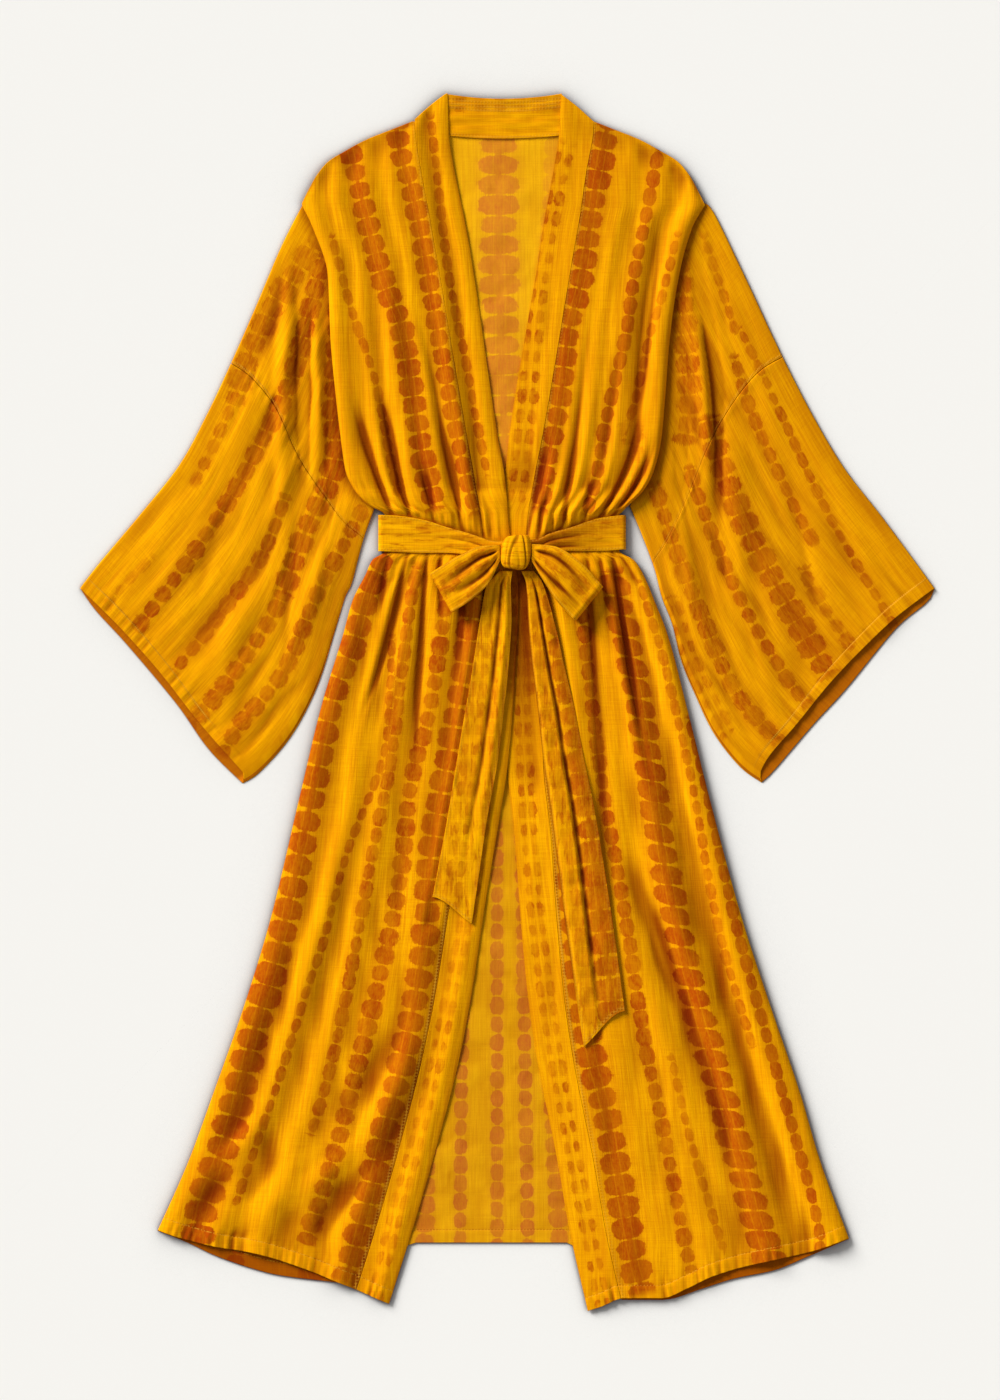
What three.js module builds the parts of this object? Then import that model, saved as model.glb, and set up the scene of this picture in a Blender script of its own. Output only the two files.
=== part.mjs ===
import * as THREE from 'three';

// A light ankle-length kimono cover-up, laid out flat on its back with its belt tied in a bow.
// All sizes are in millimetres. In the tables "out" runs sideways from the centre line, positive
// towards the viewer's right, and "down" runs from the top of the collar towards the hem.
// Left and right are as seen from the front.

// Cloth sizes
const CLOTH = 1.2; // one layer of cloth
const BAND_CLOTH = 1.4; // the doubled band along the neck and the front edges
const BELT_CLOTH = 1.4; // the doubled belt
const SEAM_GAP = 0.3; // between pieces that are sewn together
const SLEEVE_SEAM_GAP = 0.8; // at the armhole, where the edges are curved
const REST_GAP = 0.4; // between a loose piece and what it lies on
const STEEPEST = 1.8; // limit of the wall's upright thickness on a steep slope

// Waist sizes
const WAIST_TOP = 442; // where the belt's upper edge lies at the sides
const WAIST_BOTTOM = 480; // and its lower edge
const BELT_LIFT = 1.8; // the back is lifted this much by the belt under it
const WAIST_BULK = 1.8; // thickness of the gathered cloth under the belt
const BELT_REST = 7; // height of the belt's underside on the fronts
const ARMPIT = 436;

const clampUnit = (value) => Math.min(1, Math.max(0, value));
const mix = (from, to, share) => from + (to - from) * share;
const bell = (distance, width) => Math.exp(-((distance / width) ** 2));

function ease(from, to, value) {
  const share = clampUnit((value - from) / (to - from));
  return share * share * (3 - 2 * share);
}

// A smooth curve through one column of a table that never overshoots its rows.
function profile(table, along, column) {
  const knots = table.map((row) => row[along]);
  const values = table.map((row) => row[column]);
  const rises = knots.slice(1).map((knot, i) => (values[i + 1] - values[i]) / (knot - knots[i]));
  const slopes = knots.map((knot, i) => {
    if (i === 0) return rises[0];
    if (i === knots.length - 1) return rises[i - 1];
    if (rises[i - 1] * rises[i] <= 0) return 0;
    return (2 * rises[i - 1] * rises[i]) / (rises[i - 1] + rises[i]);
  });
  return (at) => {
    const last = knots.length - 1;
    if (at <= knots[0]) return values[0];
    if (at >= knots[last]) return values[last];
    let i = 0;
    while (knots[i + 1] < at) i += 1;
    const span = knots[i + 1] - knots[i];
    const t = (at - knots[i]) / span;
    const start = values[i] * (1 + 2 * t) * (1 - t) ** 2 + slopes[i] * span * t * (1 - t) ** 2;
    const end = values[i + 1] * t * t * (3 - 2 * t) - slopes[i + 1] * span * t * t * (1 - t);
    return start + end;
  };
}

// Side seams of the body, from the top of the armhole to the hem. Above the belt the fronts blouse
// out over the sleeves.
const sideSeams = [
  { down: 117, left: -211, right: 212 },
  { down: 140, left: -200, right: 199 },
  { down: 190, left: -184, right: 185 },
  { down: 258, left: -181, right: 175 },
  { down: 322, left: -175, right: 170 },
  { down: 364, left: -170, right: 166 },
  { down: 397, left: -165, right: 158 },
  { down: 416, left: -156, right: 148 },
  { down: 432, left: -141, right: 132 },
  { down: 442, left: -124, right: 122 },
  { down: 480, left: -124, right: 122 },
  { down: 489, left: -137, right: 137 },
  { down: 504, left: -144, right: 147 },
  { down: 532, left: -158, right: 159 },
  { down: 568, left: -168, right: 173 },
  { down: 644, left: -191, right: 193 },
  { down: 740, left: -214, right: 217 },
  { down: 866, left: -244, right: 251 },
  { down: 958, left: -272, right: 281 },
  { down: 1049, left: -304, right: 312 },
  { down: 1120, left: -330, right: 333 },
  { down: 1201, left: -366, right: 363 },
];

// The back's edge at the armhole, hidden under the fronts, and the side seam below the armpit.
const backSides = [
  { down: 117, left: -209, right: 210 },
  { down: 140, left: -190, right: 189 },
  { down: 190, left: -173, right: 174 },
  { down: 258, left: -167, right: 161 },
  { down: 322, left: -160, right: 155 },
  { down: 397, left: -148, right: 142 },
  { down: 436, left: -130, right: 128 },
  { down: 444, left: -123, right: 121 },
  { down: 480, left: -123, right: 121 },
];

// Front bands: the free opening edge and the seam that joins the band to its front.
const bandEdges = [
  { down: 0, leftOpen: -58, leftSeam: -94, rightOpen: 61, rightSeam: 97 },
  { down: 40, leftOpen: -57, leftSeam: -92, rightOpen: 59, rightSeam: 95 },
  { down: 80, leftOpen: -51, leftSeam: -86, rightOpen: 53, rightSeam: 88 },
  { down: 134, leftOpen: -40, leftSeam: -76, rightOpen: 43, rightSeam: 80 },
  { down: 174, leftOpen: -33, leftSeam: -69, rightOpen: 37, rightSeam: 73 },
  { down: 363, leftOpen: -5, leftSeam: -37, rightOpen: 6, rightSeam: 41 },
  { down: 403, leftOpen: 2, leftSeam: -30, rightOpen: 2, rightSeam: 33 },
  { down: 462, leftOpen: 7, leftSeam: -21, rightOpen: -3, rightSeam: 25 },
  { down: 489, leftOpen: 14, leftSeam: -20, rightOpen: -2, rightSeam: 30 },
  { down: 531, leftOpen: 16, leftSeam: -20, rightOpen: -2, rightSeam: 35 },
  { down: 583, leftOpen: 14, leftSeam: -22, rightOpen: 0, rightSeam: 38 },
  { down: 650, leftOpen: 10, leftSeam: -27, rightOpen: 2, rightSeam: 40 },
  { down: 713, leftOpen: 4, leftSeam: -33, rightOpen: 5, rightSeam: 43 },
  { down: 775, leftOpen: -6, leftSeam: -43, rightOpen: 12, rightSeam: 50 },
  { down: 860, leftOpen: -20, leftSeam: -57, rightOpen: 18, rightSeam: 56 },
  { down: 946, leftOpen: -33, leftSeam: -71, rightOpen: 26, rightSeam: 64 },
  { down: 1014, leftOpen: -46, leftSeam: -85, rightOpen: 36, rightSeam: 74 },
  { down: 1114, leftOpen: -72, leftSeam: -111, rightOpen: 56, rightSeam: 94 },
  { down: 1199, leftOpen: -97, leftSeam: -136, rightOpen: 71, rightSeam: 109 },
  { down: 1278, leftOpen: -122, leftSeam: -161, rightOpen: 89, rightSeam: 127 },
];

const shoulderLine = [
  { out: 95, down: 29 },
  { out: 118, down: 38 },
  { out: 143, down: 48 },
  { out: 167, down: 61 },
  { out: 183, down: 71 },
  { out: 195, down: 85 },
  { out: 203, down: 99 },
  { out: 212, down: 117 },
];

const collarPeaks = [
  { out: 60, down: 0 },
  { out: 77, down: 13 },
  { out: 95, down: 29 },
];

const leftHem = [
  { out: -366, down: 1191 },
  { out: -341, down: 1200 },
  { out: -301, down: 1210 },
  { out: -260, down: 1217 },
  { out: -223, down: 1228 },
  { out: -181, down: 1244 },
  { out: -150, down: 1257 },
  { out: -120, down: 1270 },
];

const rightHem = [
  { out: 88, down: 1278 },
  { out: 103, down: 1273 },
  { out: 127, down: 1264 },
  { out: 167, down: 1264 },
  { out: 193, down: 1254 },
  { out: 220, down: 1241 },
  { out: 274, down: 1226 },
  { out: 317, down: 1217 },
  { out: 363, down: 1201 },
];

const backHem = [
  { out: -366, down: 1192 },
  { out: -331, down: 1206 },
  { out: -301, down: 1220 },
  { out: -260, down: 1234 },
  { out: -236, down: 1240 },
  { out: -181, down: 1247 },
  { out: -155, down: 1250 },
  { out: -118, down: 1222 },
  { out: -90, down: 1206 },
  { out: 66, down: 1206 },
  { out: 92, down: 1228 },
  { out: 126, down: 1266 },
  { out: 167, down: 1266 },
  { out: 210, down: 1254 },
  { out: 242, down: 1244 },
  { out: 285, down: 1235 },
  { out: 317, down: 1222 },
  { out: 363, down: 1202 },
];

// The belt's edges across the front, from side to side.
const beltEdges = [
  { out: -132, top: 442, bottom: 480 },
  { out: -112, top: 443, bottom: 481 },
  { out: -85, top: 447, bottom: 482 },
  { out: -59, top: 455, bottom: 482 },
  { out: -37, top: 461, bottom: 484 },
  { out: -4, top: 470, bottom: 491 },
  { out: 33, top: 468, bottom: 490 },
  { out: 50, top: 461, bottom: 482 },
  { out: 71, top: 455, bottom: 480 },
  { out: 104, top: 445, bottom: 480 },
  { out: 129, top: 442, bottom: 478 },
];

// How far the cloth stands up over its rest, by the distance from the belt's edge.
const bloused = [
  { away: 0, rise: 0 },
  { away: 8, rise: 4.6 },
  { away: 20, rise: 8 },
  { away: 40, rise: 9 },
  { away: 80, rise: 6.5 },
  { away: 160, rise: 4.5 },
  { away: 300, rise: 3.4 },
  { away: 420, rise: 2 },
];
const flared = [
  { away: 0, rise: 0 },
  { away: 8, rise: 3.4 },
  { away: 20, rise: 5.4 },
  { away: 50, rise: 5.6 },
  { away: 120, rise: 4.2 },
  { away: 300, rise: 3.4 },
  { away: 700, rise: 3 },
  { away: 800, rise: 2 },
];

// Grooves between the gathers, each held under the belt at one end and fading out at the other.
// "deep" is the share of the cloth's height that the groove takes away.
const gathers = [
  { side: 'left', out: -114, down: 440, toOut: -144, toDown: 352, wide: 5, deep: 0.85 },
  { side: 'left', out: -98, down: 443, toOut: -110, toDown: 350, wide: 5, deep: 0.85 },
  { side: 'left', out: -72, down: 449, toOut: -88, toDown: 370, wide: 5, deep: 0.45 },
  { side: 'left', out: -43, down: 457, toOut: -58, toDown: 376, wide: 5, deep: 0.55 },
  { side: 'left', out: -20, down: 464, toOut: -38, toDown: 350, wide: 4, deep: 0.6 },
  { side: 'right', out: 24, down: 467, toOut: 34, toDown: 392, wide: 4, deep: 0.5 },
  { side: 'right', out: 36, down: 466, toOut: 48, toDown: 400, wide: 4, deep: 0.75 },
  { side: 'right', out: 61, down: 456, toOut: 82, toDown: 350, wide: 5, deep: 0.5 },
  { side: 'right', out: 84, down: 450, toOut: 100, toDown: 372, wide: 5, deep: 0.4 },
  { side: 'right', out: 102, down: 445, toOut: 122, toDown: 355, wide: 5, deep: 0.85 },
  { side: 'right', out: 115, down: 443, toOut: 133, toDown: 375, wide: 4, deep: 0.7 },
  { side: 'left', out: -120, down: 481, toOut: -134, toDown: 560, wide: 4, deep: 0.6 },
  { side: 'left', out: -100, down: 482, toOut: -159, toDown: 720, wide: 5, deep: 0.8 },
  { side: 'left', out: -80, down: 482, toOut: -98, toDown: 730, wide: 5, deep: 0.7 },
  { side: 'left', out: -66, down: 483, toOut: -64, toDown: 580, wide: 4, deep: 0.5 },
  { side: 'left', out: -40, down: 484, toOut: -50, toDown: 650, wide: 5, deep: 0.6 },
  { side: 'left', out: -18, down: 488, toOut: -24, toDown: 620, wide: 4, deep: 0.5 },
  { side: 'right', out: 40, down: 488, toOut: 60, toDown: 620, wide: 5, deep: 0.6 },
  { side: 'right', out: 66, down: 482, toOut: 92, toDown: 640, wide: 5, deep: 0.5 },
  { side: 'right', out: 88, down: 481, toOut: 112, toDown: 860, wide: 6, deep: 0.6 },
  { side: 'right', out: 101, down: 481, toOut: 118, toDown: 600, wide: 4, deep: 0.6 },
  { side: 'right', out: 114, down: 480, toOut: 158, toDown: 750, wide: 5, deep: 0.85 },
  { side: 'right', out: 120, down: 479, toOut: 142, toDown: 520, wide: 4, deep: 0.4 },
];

// Long loose folds, free at both ends. A positive rise is a ridge and a negative one a hollow.
const folds = [
  { side: 'left', out: -142, down: 1025, toOut: -300, toDown: 1185, bow: -18, wide: 15, rise: 3 },
  { side: 'left', out: -235, down: 1050, toOut: -345, toDown: 1160, bow: -8, wide: 12, rise: 2.5 },
  { side: 'left', out: -80, down: 780, toOut: -150, toDown: 1190, bow: 12, wide: 16, rise: 2.2 },
  { side: 'left', out: -160, down: 740, toOut: -240, toDown: 1020, bow: 6, wide: 18, rise: 2 },
  { side: 'left', out: -128, down: 130, toOut: -96, toDown: 380, bow: 6, wide: 12, rise: 1.8 },
  { side: 'right', out: 128, down: 840, toOut: 262, toDown: 1205, bow: 12, wide: 16, rise: 3 },
  { side: 'right', out: 190, down: 760, toOut: 300, toDown: 1120, bow: 8, wide: 18, rise: 2.2 },
  { side: 'right', out: 90, down: 760, toOut: 150, toDown: 1180, bow: 8, wide: 15, rise: 2.2 },
  { side: 'right', out: 124, down: 140, toOut: 96, toDown: 380, bow: -6, wide: 12, rise: 1.8 },
];

// Folds of the sleeves' upper layer, beside the body and along the sleeve.
const sleeveFolds = [
  { side: 'left', out: -196, down: 205, toOut: -197, toDown: 395, bow: -4, wide: 8, rise: 7 },
  { side: 'left', out: -221, down: 175, toOut: -232, toDown: 470, bow: 4, wide: 9, rise: 6 },
  { side: 'left', out: -175, down: 470, toOut: -230, toDown: 620, bow: 6, wide: 12, rise: 3.5 },
  { side: 'left', out: -300, down: 420, toOut: -372, toDown: 560, bow: 6, wide: 16, rise: 2.2 },
  { side: 'left', out: -255, down: 500, toOut: -300, toDown: 640, bow: 5, wide: 16, rise: 2.6 },
  { side: 'right', out: 197, down: 215, toOut: 214, toDown: 440, bow: -8, wide: 9, rise: 8 },
  { side: 'right', out: 232, down: 330, toOut: 252, toDown: 560, bow: -4, wide: 13, rise: 4 },
  { side: 'right', out: 172, down: 470, toOut: 222, toDown: 630, bow: -6, wide: 12, rise: 3.5 },
  { side: 'right', out: 300, down: 400, toOut: 352, toDown: 560, bow: -6, wide: 16, rise: 2.4 },
  { side: 'right', out: 268, down: 470, toOut: 296, toDown: 630, bow: -5, wide: 15, rise: 2.6 },
];

// The share of the way along a crease that a place lies at, and how far to its side it lies.
function creaseAt(crease, out, down) {
  const alongOut = crease.toOut - crease.out;
  const alongDown = crease.toDown - crease.down;
  const length = Math.hypot(alongOut, alongDown);
  const from = ((out - crease.out) * alongOut + (down - crease.down) * alongDown) / length;
  const share = from / length;
  const inside = clampUnit(share);
  const aside = ((down - crease.down) * alongOut - (out - crease.out) * alongDown) / length;
  const bowed = aside - (crease.bow ?? 0) * 4 * inside * (1 - inside);
  return { share, bowed };
}

function gatherCut(side, out, down, below) {
  let kept = 1;
  for (const crease of gathers) {
    if (crease.side !== side || crease.toDown > crease.down !== below) continue;
    const { share, bowed } = creaseAt(crease, out, down);
    const wide = crease.wide * mix(1, 2.6, clampUnit(share));
    kept *= 1 - crease.deep * (1 - ease(0.35, 1, share)) * bell(bowed, wide);
  }
  return kept;
}

function foldRise(table, side, out, down) {
  let rise = 0;
  for (const crease of table) {
    if (crease.side !== side) continue;
    const { share, bowed } = creaseAt(crease, out, down);
    const strength = ease(-0.05, 0.3, share) * (1 - ease(0.7, 1.05, share));
    rise += crease.rise * strength * bell(bowed, crease.wide);
  }
  return rise;
}

const beltTop = profile(beltEdges, 'out', 'top');
const beltBottom = profile(beltEdges, 'out', 'bottom');
const blouseRise = profile(bloused, 'away', 'rise');
const flareRise = profile(flared, 'away', 'rise');

// The belt's passage under the back lifts everything above it, the fronts sooner than the back.
function waistShare(down, sooner = 0) {
  const rising = ease(WAIST_TOP - 17 - sooner, WAIST_TOP - 2 - sooner, down);
  return rising - ease(WAIST_BOTTOM + 2 + sooner, WAIST_BOTTOM + 17 + sooner, down);
}

// One half of the front, with its band, as one height field over its plan.
class FrontHalf {
  constructor(side, sign, hemTable) {
    this.side = side;
    this.sign = sign;
    this.sideSeam = profile(sideSeams, 'down', side);
    this.bandSeam = profile(bandEdges, 'down', `${side}Seam`);
    this.opening = profile(bandEdges, 'down', `${side}Open`);
    this.hem = profile(hemTable, 'out', 'down');
  }

  // The left half lies over the right one from the foot of the neckline to above the knees.
  overlap(down) {
    return ease(384, 398, down) * (1 - ease(706, 760, down));
  }

  rest(out, down) {
    const fromSide = Math.abs(out - this.sideSeam(down));
    const fromOpening = Math.abs(out - this.opening(down));
    const overSleeve = (1 - ease(14, 44, fromSide)) * (1 - ease(ARMPIT, ARMPIT + 8, down));
    const crossed = this.overlap(down);
    const bulk = WAIST_BULK * ease(0, 9, fromSide) * waistShare(down);
    let height = CLOTH + SEAM_GAP + BELT_LIFT * waistShare(down, 14) + 1.9 * overSleeve;
    if (this.side === 'right') {
      height += bulk * mix(1, ease(24, 40, fromOpening), crossed);
    } else {
      const onTop = 1.8 * (1 - ease(22, 38, fromOpening)) * crossed;
      height += Math.max(bulk, onTop);
    }
    return height;
  }

  puff(out, down) {
    const above = beltTop(out) - down;
    const below = down - beltBottom(out);
    if (above <= 0 && below <= 0) return 0;
    const rise = above > 0 ? blouseRise(above) : flareRise(below);
    const fromSide = Math.abs(out - this.sideSeam(down));
    const fromOpening = Math.abs(out - this.opening(down));
    const sideShare = Math.sqrt(ease(-4, 24, fromSide));
    const openShare = mix(0.55, 1, ease(0, 45, fromOpening));
    const crossedShare = this.side === 'right' ? ease(24, 50, fromOpening) : openShare;
    const share = mix(openShare, crossedShare, this.overlap(down));
    const topShare = mix(0.3, 1, ease(0, 45, down - shoulder(out)));
    return rise * sideShare * share * topShare * gatherCut(this.side, out, down, below > 0);
  }

  // Height of the underside.
  height(out, down) {
    const fromSide = Math.abs(out - this.sideSeam(down));
    const fromOpening = Math.abs(out - this.opening(down));
    const crossed = this.side === 'right' ? this.overlap(down) : 0;
    const free = ease(4, 30, fromSide) * mix(1, ease(24, 50, fromOpening), crossed);
    const collarRoll = 3.5 * (1 - ease(8, 90, down)) * (1 - ease(0, 60, fromOpening));
    const loose = free * foldRise(folds, this.side, out, down);
    return this.rest(out, down) + Math.max(0, this.puff(out, down) + loose) + collarRoll;
  }
}

const shoulderProfile = profile(shoulderLine, 'out', 'down');
const peakProfile = profile(collarPeaks, 'out', 'down');
const shoulder = (out) => shoulderProfile(Math.abs(out));
const collarTop = (out) => peakProfile(Math.abs(out));
const COLLAR_END = shoulderLine[0]; // where the shoulder meets the band's seam
const NECK_DEPTH = 46; // depth of the back neckline at the centre
const neckCurve = (out) => NECK_DEPTH - 3 * (out / 58) ** 2;

// Where a flow line meets a slanted end line.
function meet(endLine, flow, start) {
  let down = start;
  for (let i = 0; i < 14; i += 1) down = endLine(flow(down));
  return down;
}

// Shares of the way down in each of the three zones: bodice, belt and skirt.
const bodiceRows = [0, 0.05, 0.16, 0.31, 0.46, 0.6, 0.72, 0.82, 0.9, 0.955, 1];
const beltRows = [0.5];
const skirtRows = [0, 0.012, 0.03, 0.06, 0.11, 0.18, 0.27, 0.38, 0.5, 0.62, 0.74, 0.86, 0.95, 1];

const ROW_COUNT = bodiceRows.length + beltRows.length + skirtRows.length;

// Where the rows of a panel cross one of its flow lines, from its top line to its hem. The two rows
// beside the waist follow its upper and lower lines.
function rowsDown(flow, topLine, hemLine, waistUpper, waistLower) {
  const top = meet(topLine, flow, 60);
  const hem = meet(hemLine, flow, 1230);
  const upper = waistUpper(flow(WAIST_TOP + 8));
  const lower = waistLower(flow(WAIST_BOTTOM));
  return [
    ...bodiceRows.map((share) => mix(top, upper - 0.5, share)),
    ...beltRows.map((share) => mix(upper, lower, share)),
    ...skirtRows.map((share) => mix(lower + 0.5, hem, share)),
  ];
}

// The steepness of a height field, for keeping the wall's true thickness.
function uprightWall(field, wall, out, down) {
  const step = 1.5;
  const slopeOut = (field(out + step, down) - field(out - step, down)) / (2 * step);
  const slopeDown = (field(out, down + step) - field(out, down - step)) / (2 * step);
  return wall * Math.min(STEEPEST, Math.hypot(1, slopeOut, slopeDown));
}

const place = (out, down, height) => new THREE.Vector3(out, -down, height);

// A closed body from its outside rings or grid and its inside ones.
function bodyGeometry(vertices, faces) {
  let volume = 0;
  for (const [a, b, c] of faces) {
    volume += vertices[a].dot(new THREE.Vector3().crossVectors(vertices[b], vertices[c]));
  }
  const turned = volume < 0 ? faces.map(([a, b, c]) => [a, c, b]) : faces;
  const geometry = new THREE.BufferGeometry();
  const coordinates = vertices.flatMap((vertex) => vertex.toArray());
  geometry.setAttribute('position', new THREE.Float32BufferAttribute(coordinates, 3));
  geometry.setIndex(turned.flat());
  geometry.computeVertexNormals();
  return geometry;
}

const quad = (a, b, c, d) => [[a, b, c], [a, c, d]];

// A sheet of cloth between two grids of the same rows and columns.
function sheetGeometry(lower, upper) {
  const rows = lower.length;
  const columns = lower[0].length;
  const count = rows * columns;
  const at = (row, column) => row * columns + column;
  const faces = [];
  for (let row = 0; row < rows - 1; row += 1) {
    for (let column = 0; column < columns - 1; column += 1) {
      const corners = [
        at(row, column), at(row, column + 1), at(row + 1, column + 1), at(row + 1, column),
      ];
      faces.push(...quad(...corners.map((corner) => corner + count)));
      faces.push(...quad(...corners.reverse()));
    }
  }
  const rim = [];
  for (let column = 0; column < columns - 1; column += 1) rim.push(at(0, column));
  for (let row = 0; row < rows - 1; row += 1) rim.push(at(row, columns - 1));
  for (let column = columns - 1; column > 0; column -= 1) rim.push(at(rows - 1, column));
  for (let row = rows - 1; row > 0; row -= 1) rim.push(at(row, 0));
  rim.forEach((corner, i) => {
    const next = rim[(i + 1) % rim.length];
    faces.push(...quad(corner, next, next + count, corner + count));
  });
  return bodyGeometry([...lower.flat(), ...upper.flat()], faces);
}

// An open tube of cloth between outer and inner rings of the same number of points.
function tubeGeometry(outer, inner) {
  const points = outer[0].length;
  const count = outer.length * points;
  const at = (ring, point) => ring * points + (point % points);
  const faces = [];
  for (let ring = 0; ring < outer.length - 1; ring += 1) {
    for (let point = 0; point < points; point += 1) {
      const corners = [
        at(ring, point), at(ring, point + 1), at(ring + 1, point + 1), at(ring + 1, point),
      ];
      faces.push(...quad(...corners.map((corner) => corner + count)));
      faces.push(...quad(...corners.reverse()));
    }
  }
  for (let point = 0; point < points; point += 1) {
    const first = [at(0, point), at(0, point + 1)];
    const last = [at(outer.length - 1, point), at(outer.length - 1, point + 1)];
    faces.push(...quad(first[0], first[1], first[1] + count, first[0] + count));
    faces.push(...quad(last[1], last[0], last[0] + count, last[1] + count));
  }
  return bodyGeometry([...outer.flat(), ...inner.flat()], faces);
}

// The highest cloth at a place, read from the upper faces of the pieces laid so far.
class LaidCloth {
  constructor() {
    this.sheets = [];
  }

  add(upper) {
    this.sheets.push(upper);
  }

  static heightIn(a, b, c, x, y) {
    const area = (b.x - a.x) * (c.y - a.y) - (c.x - a.x) * (b.y - a.y);
    if (Math.abs(area) < 1e-9) return -Infinity;
    const shareB = ((x - a.x) * (c.y - a.y) - (c.x - a.x) * (y - a.y)) / area;
    const shareC = ((b.x - a.x) * (y - a.y) - (x - a.x) * (b.y - a.y)) / area;
    if (shareB < -0.01 || shareC < -0.01 || shareB + shareC > 1.01) return -Infinity;
    return a.z + (b.z - a.z) * shareB + (c.z - a.z) * shareC;
  }

  at(out, down) {
    let highest = 0;
    for (const grid of this.sheets) {
      for (let row = 0; row < grid.length - 1; row += 1) {
        if (-down > grid[row][0].y + 40 && -down > grid[row].at(-1).y + 40) continue;
        for (let column = 0; column < grid[row].length - 1; column += 1) {
          const a = grid[row][column];
          const b = grid[row][column + 1];
          const c = grid[row + 1][column + 1];
          const d = grid[row + 1][column];
          const corners = [a, b, c, d];
          if (corners.every((corner) => corner.x < out)) continue;
          if (corners.every((corner) => corner.x > out)) continue;
          const nearer = LaidCloth.heightIn(a, b, c, out, -down);
          const farther = LaidCloth.heightIn(a, c, d, out, -down);
          highest = Math.max(highest, nearer, farther);
        }
      }
    }
    return highest;
  }

  // The highest cloth within a reach of a place, so that a sheet of that spacing clears it all.
  around(out, down, reachOut, reachDown) {
    let highest = 0;
    for (const shareOut of [-1, -0.5, 0, 0.5, 1]) {
      for (const shareDown of [-1, -0.5, 0, 0.5, 1]) {
        highest = Math.max(highest, this.at(out + shareOut * reachOut, down + shareDown * reachDown));
      }
    }
    return highest;
  }
}

const laid = new LaidCloth();
const garment = new THREE.Group();

const clothFinish = { color: 0xd99a08, roughness: 0.85, metalness: 0 };
const beltFinish = { color: 0xd29206, roughness: 0.85, metalness: 0 };

function addPiece(name, geometry, finish = clothFinish) {
  const material = new THREE.MeshStandardMaterial({ ...finish, side: THREE.DoubleSide });
  const piece = new THREE.Mesh(geometry, material);
  piece.name = name;
  garment.add(piece);
}

// Even shares from 0 to 1, with the first and last step shortened to round the cloth's edge.
function shares(count, edge) {
  const inner = Array.from({ length: count - 2 }, (_, i) => mix(edge, 1 - edge, i / (count - 3)));
  return [0, ...inner, 1];
}

function raise(grid, field, wall) {
  return grid.map((row) => row.map((point) => {
    const thick = uprightWall(field, wall, point.x, -point.y);
    return new THREE.Vector3(point.x, point.y, point.z + thick);
  }));
}

function addBack() {
  const leftArmhole = profile(backSides, 'down', 'left');
  const rightArmhole = profile(backSides, 'down', 'right');
  const leftSeam = profile(sideSeams, 'down', 'left');
  const rightSeam = profile(sideSeams, 'down', 'right');
  const hem = profile(backHem, 'out', 'down');
  const inset = (down) => 1 - ease(WAIST_BOTTOM, WAIST_BOTTOM + 40, down);
  const left = (down) => (down < WAIST_BOTTOM ? leftArmhole(down) : leftSeam(down) + inset(down));
  const right = (down) => (down < WAIST_BOTTOM ? rightArmhole(down) : rightSeam(down) - inset(down));
  const top = (out) => {
    const fromCentre = Math.abs(out);
    if (fromCentre >= COLLAR_END.out) return shoulder(out) + 0.5;
    return mix(neckCurve(out), COLLAR_END.down + 0.5, ease(60, COLLAR_END.out, fromCentre));
  };
  const height = (out, down) => BELT_LIFT * waistShare(down);
  const lower = [];
  for (let row = 0; row < ROW_COUNT; row += 1) {
    lower.push(shares(15, 0.03).map((share) => {
      const flow = (down) => mix(left(down), right(down), share);
      const down = rowsDown(flow, top, hem, () => WAIST_TOP - 1, () => WAIST_BOTTOM + 1)[row];
      return place(flow(down), down, height(flow(down), down));
    }));
  }
  const upper = raise(lower, height, CLOTH);
  laid.add(upper);
  addPiece('back_panel', sheetGeometry(lower, upper));
}

function addFrontHalf(half) {
  const field = (out, down) => half.height(out, down);
  const spans = [
    {
      name: `front_${half.side}`, wall: CLOTH, flows: shares(25, 0.02), top: shoulder,
      from: half.sideSeam, to: (down) => half.bandSeam(down) + (half.sign * SEAM_GAP) / 2,
    },
    {
      name: `band_${half.side}`, wall: BAND_CLOTH, flows: [0, 0.5, 1], top: collarTop,
      from: (down) => half.bandSeam(down) - (half.sign * SEAM_GAP) / 2, to: half.opening,
    },
  ];
  for (const span of spans) {
    const lower = [];
    for (let row = 0; row < ROW_COUNT; row += 1) {
      lower.push(span.flows.map((share) => {
        const flow = (down) => mix(span.from(down), span.to(down), share);
        const down = rowsDown(flow, span.top, half.hem, beltTop, beltBottom)[row];
        return place(flow(down), down, field(flow(down), down));
      }));
    }
    const upper = raise(lower, field, span.wall);
    laid.add(upper);
    addPiece(span.name, sheetGeometry(lower, upper));
  }
}

// The stretch of band behind the neck stands a little off the surface at its upper edge.
function addNeckBand() {
  const half = 56;
  const columns = shares(9, 0.06);
  const rows = [0, 0.33, 0.67, 1];
  const height = (share) => CLOTH + SEAM_GAP + 2.6 * (1 - share) ** 1.5;
  const lower = rows.map((share) => columns.map((column) => {
    const out = mix(-half, half + 2.4, column);
    const upperEdge = 5.5 - 4.5 * (out / half) ** 2;
    return place(out, mix(upperEdge, neckCurve(out) + 1, share), height(share));
  }));
  const upper = lower.map((row) => row.map((point) => place(point.x, -point.y, point.z + BAND_CLOTH)));
  addPiece('band_neck', sheetGeometry(lower, upper));
}

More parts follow.
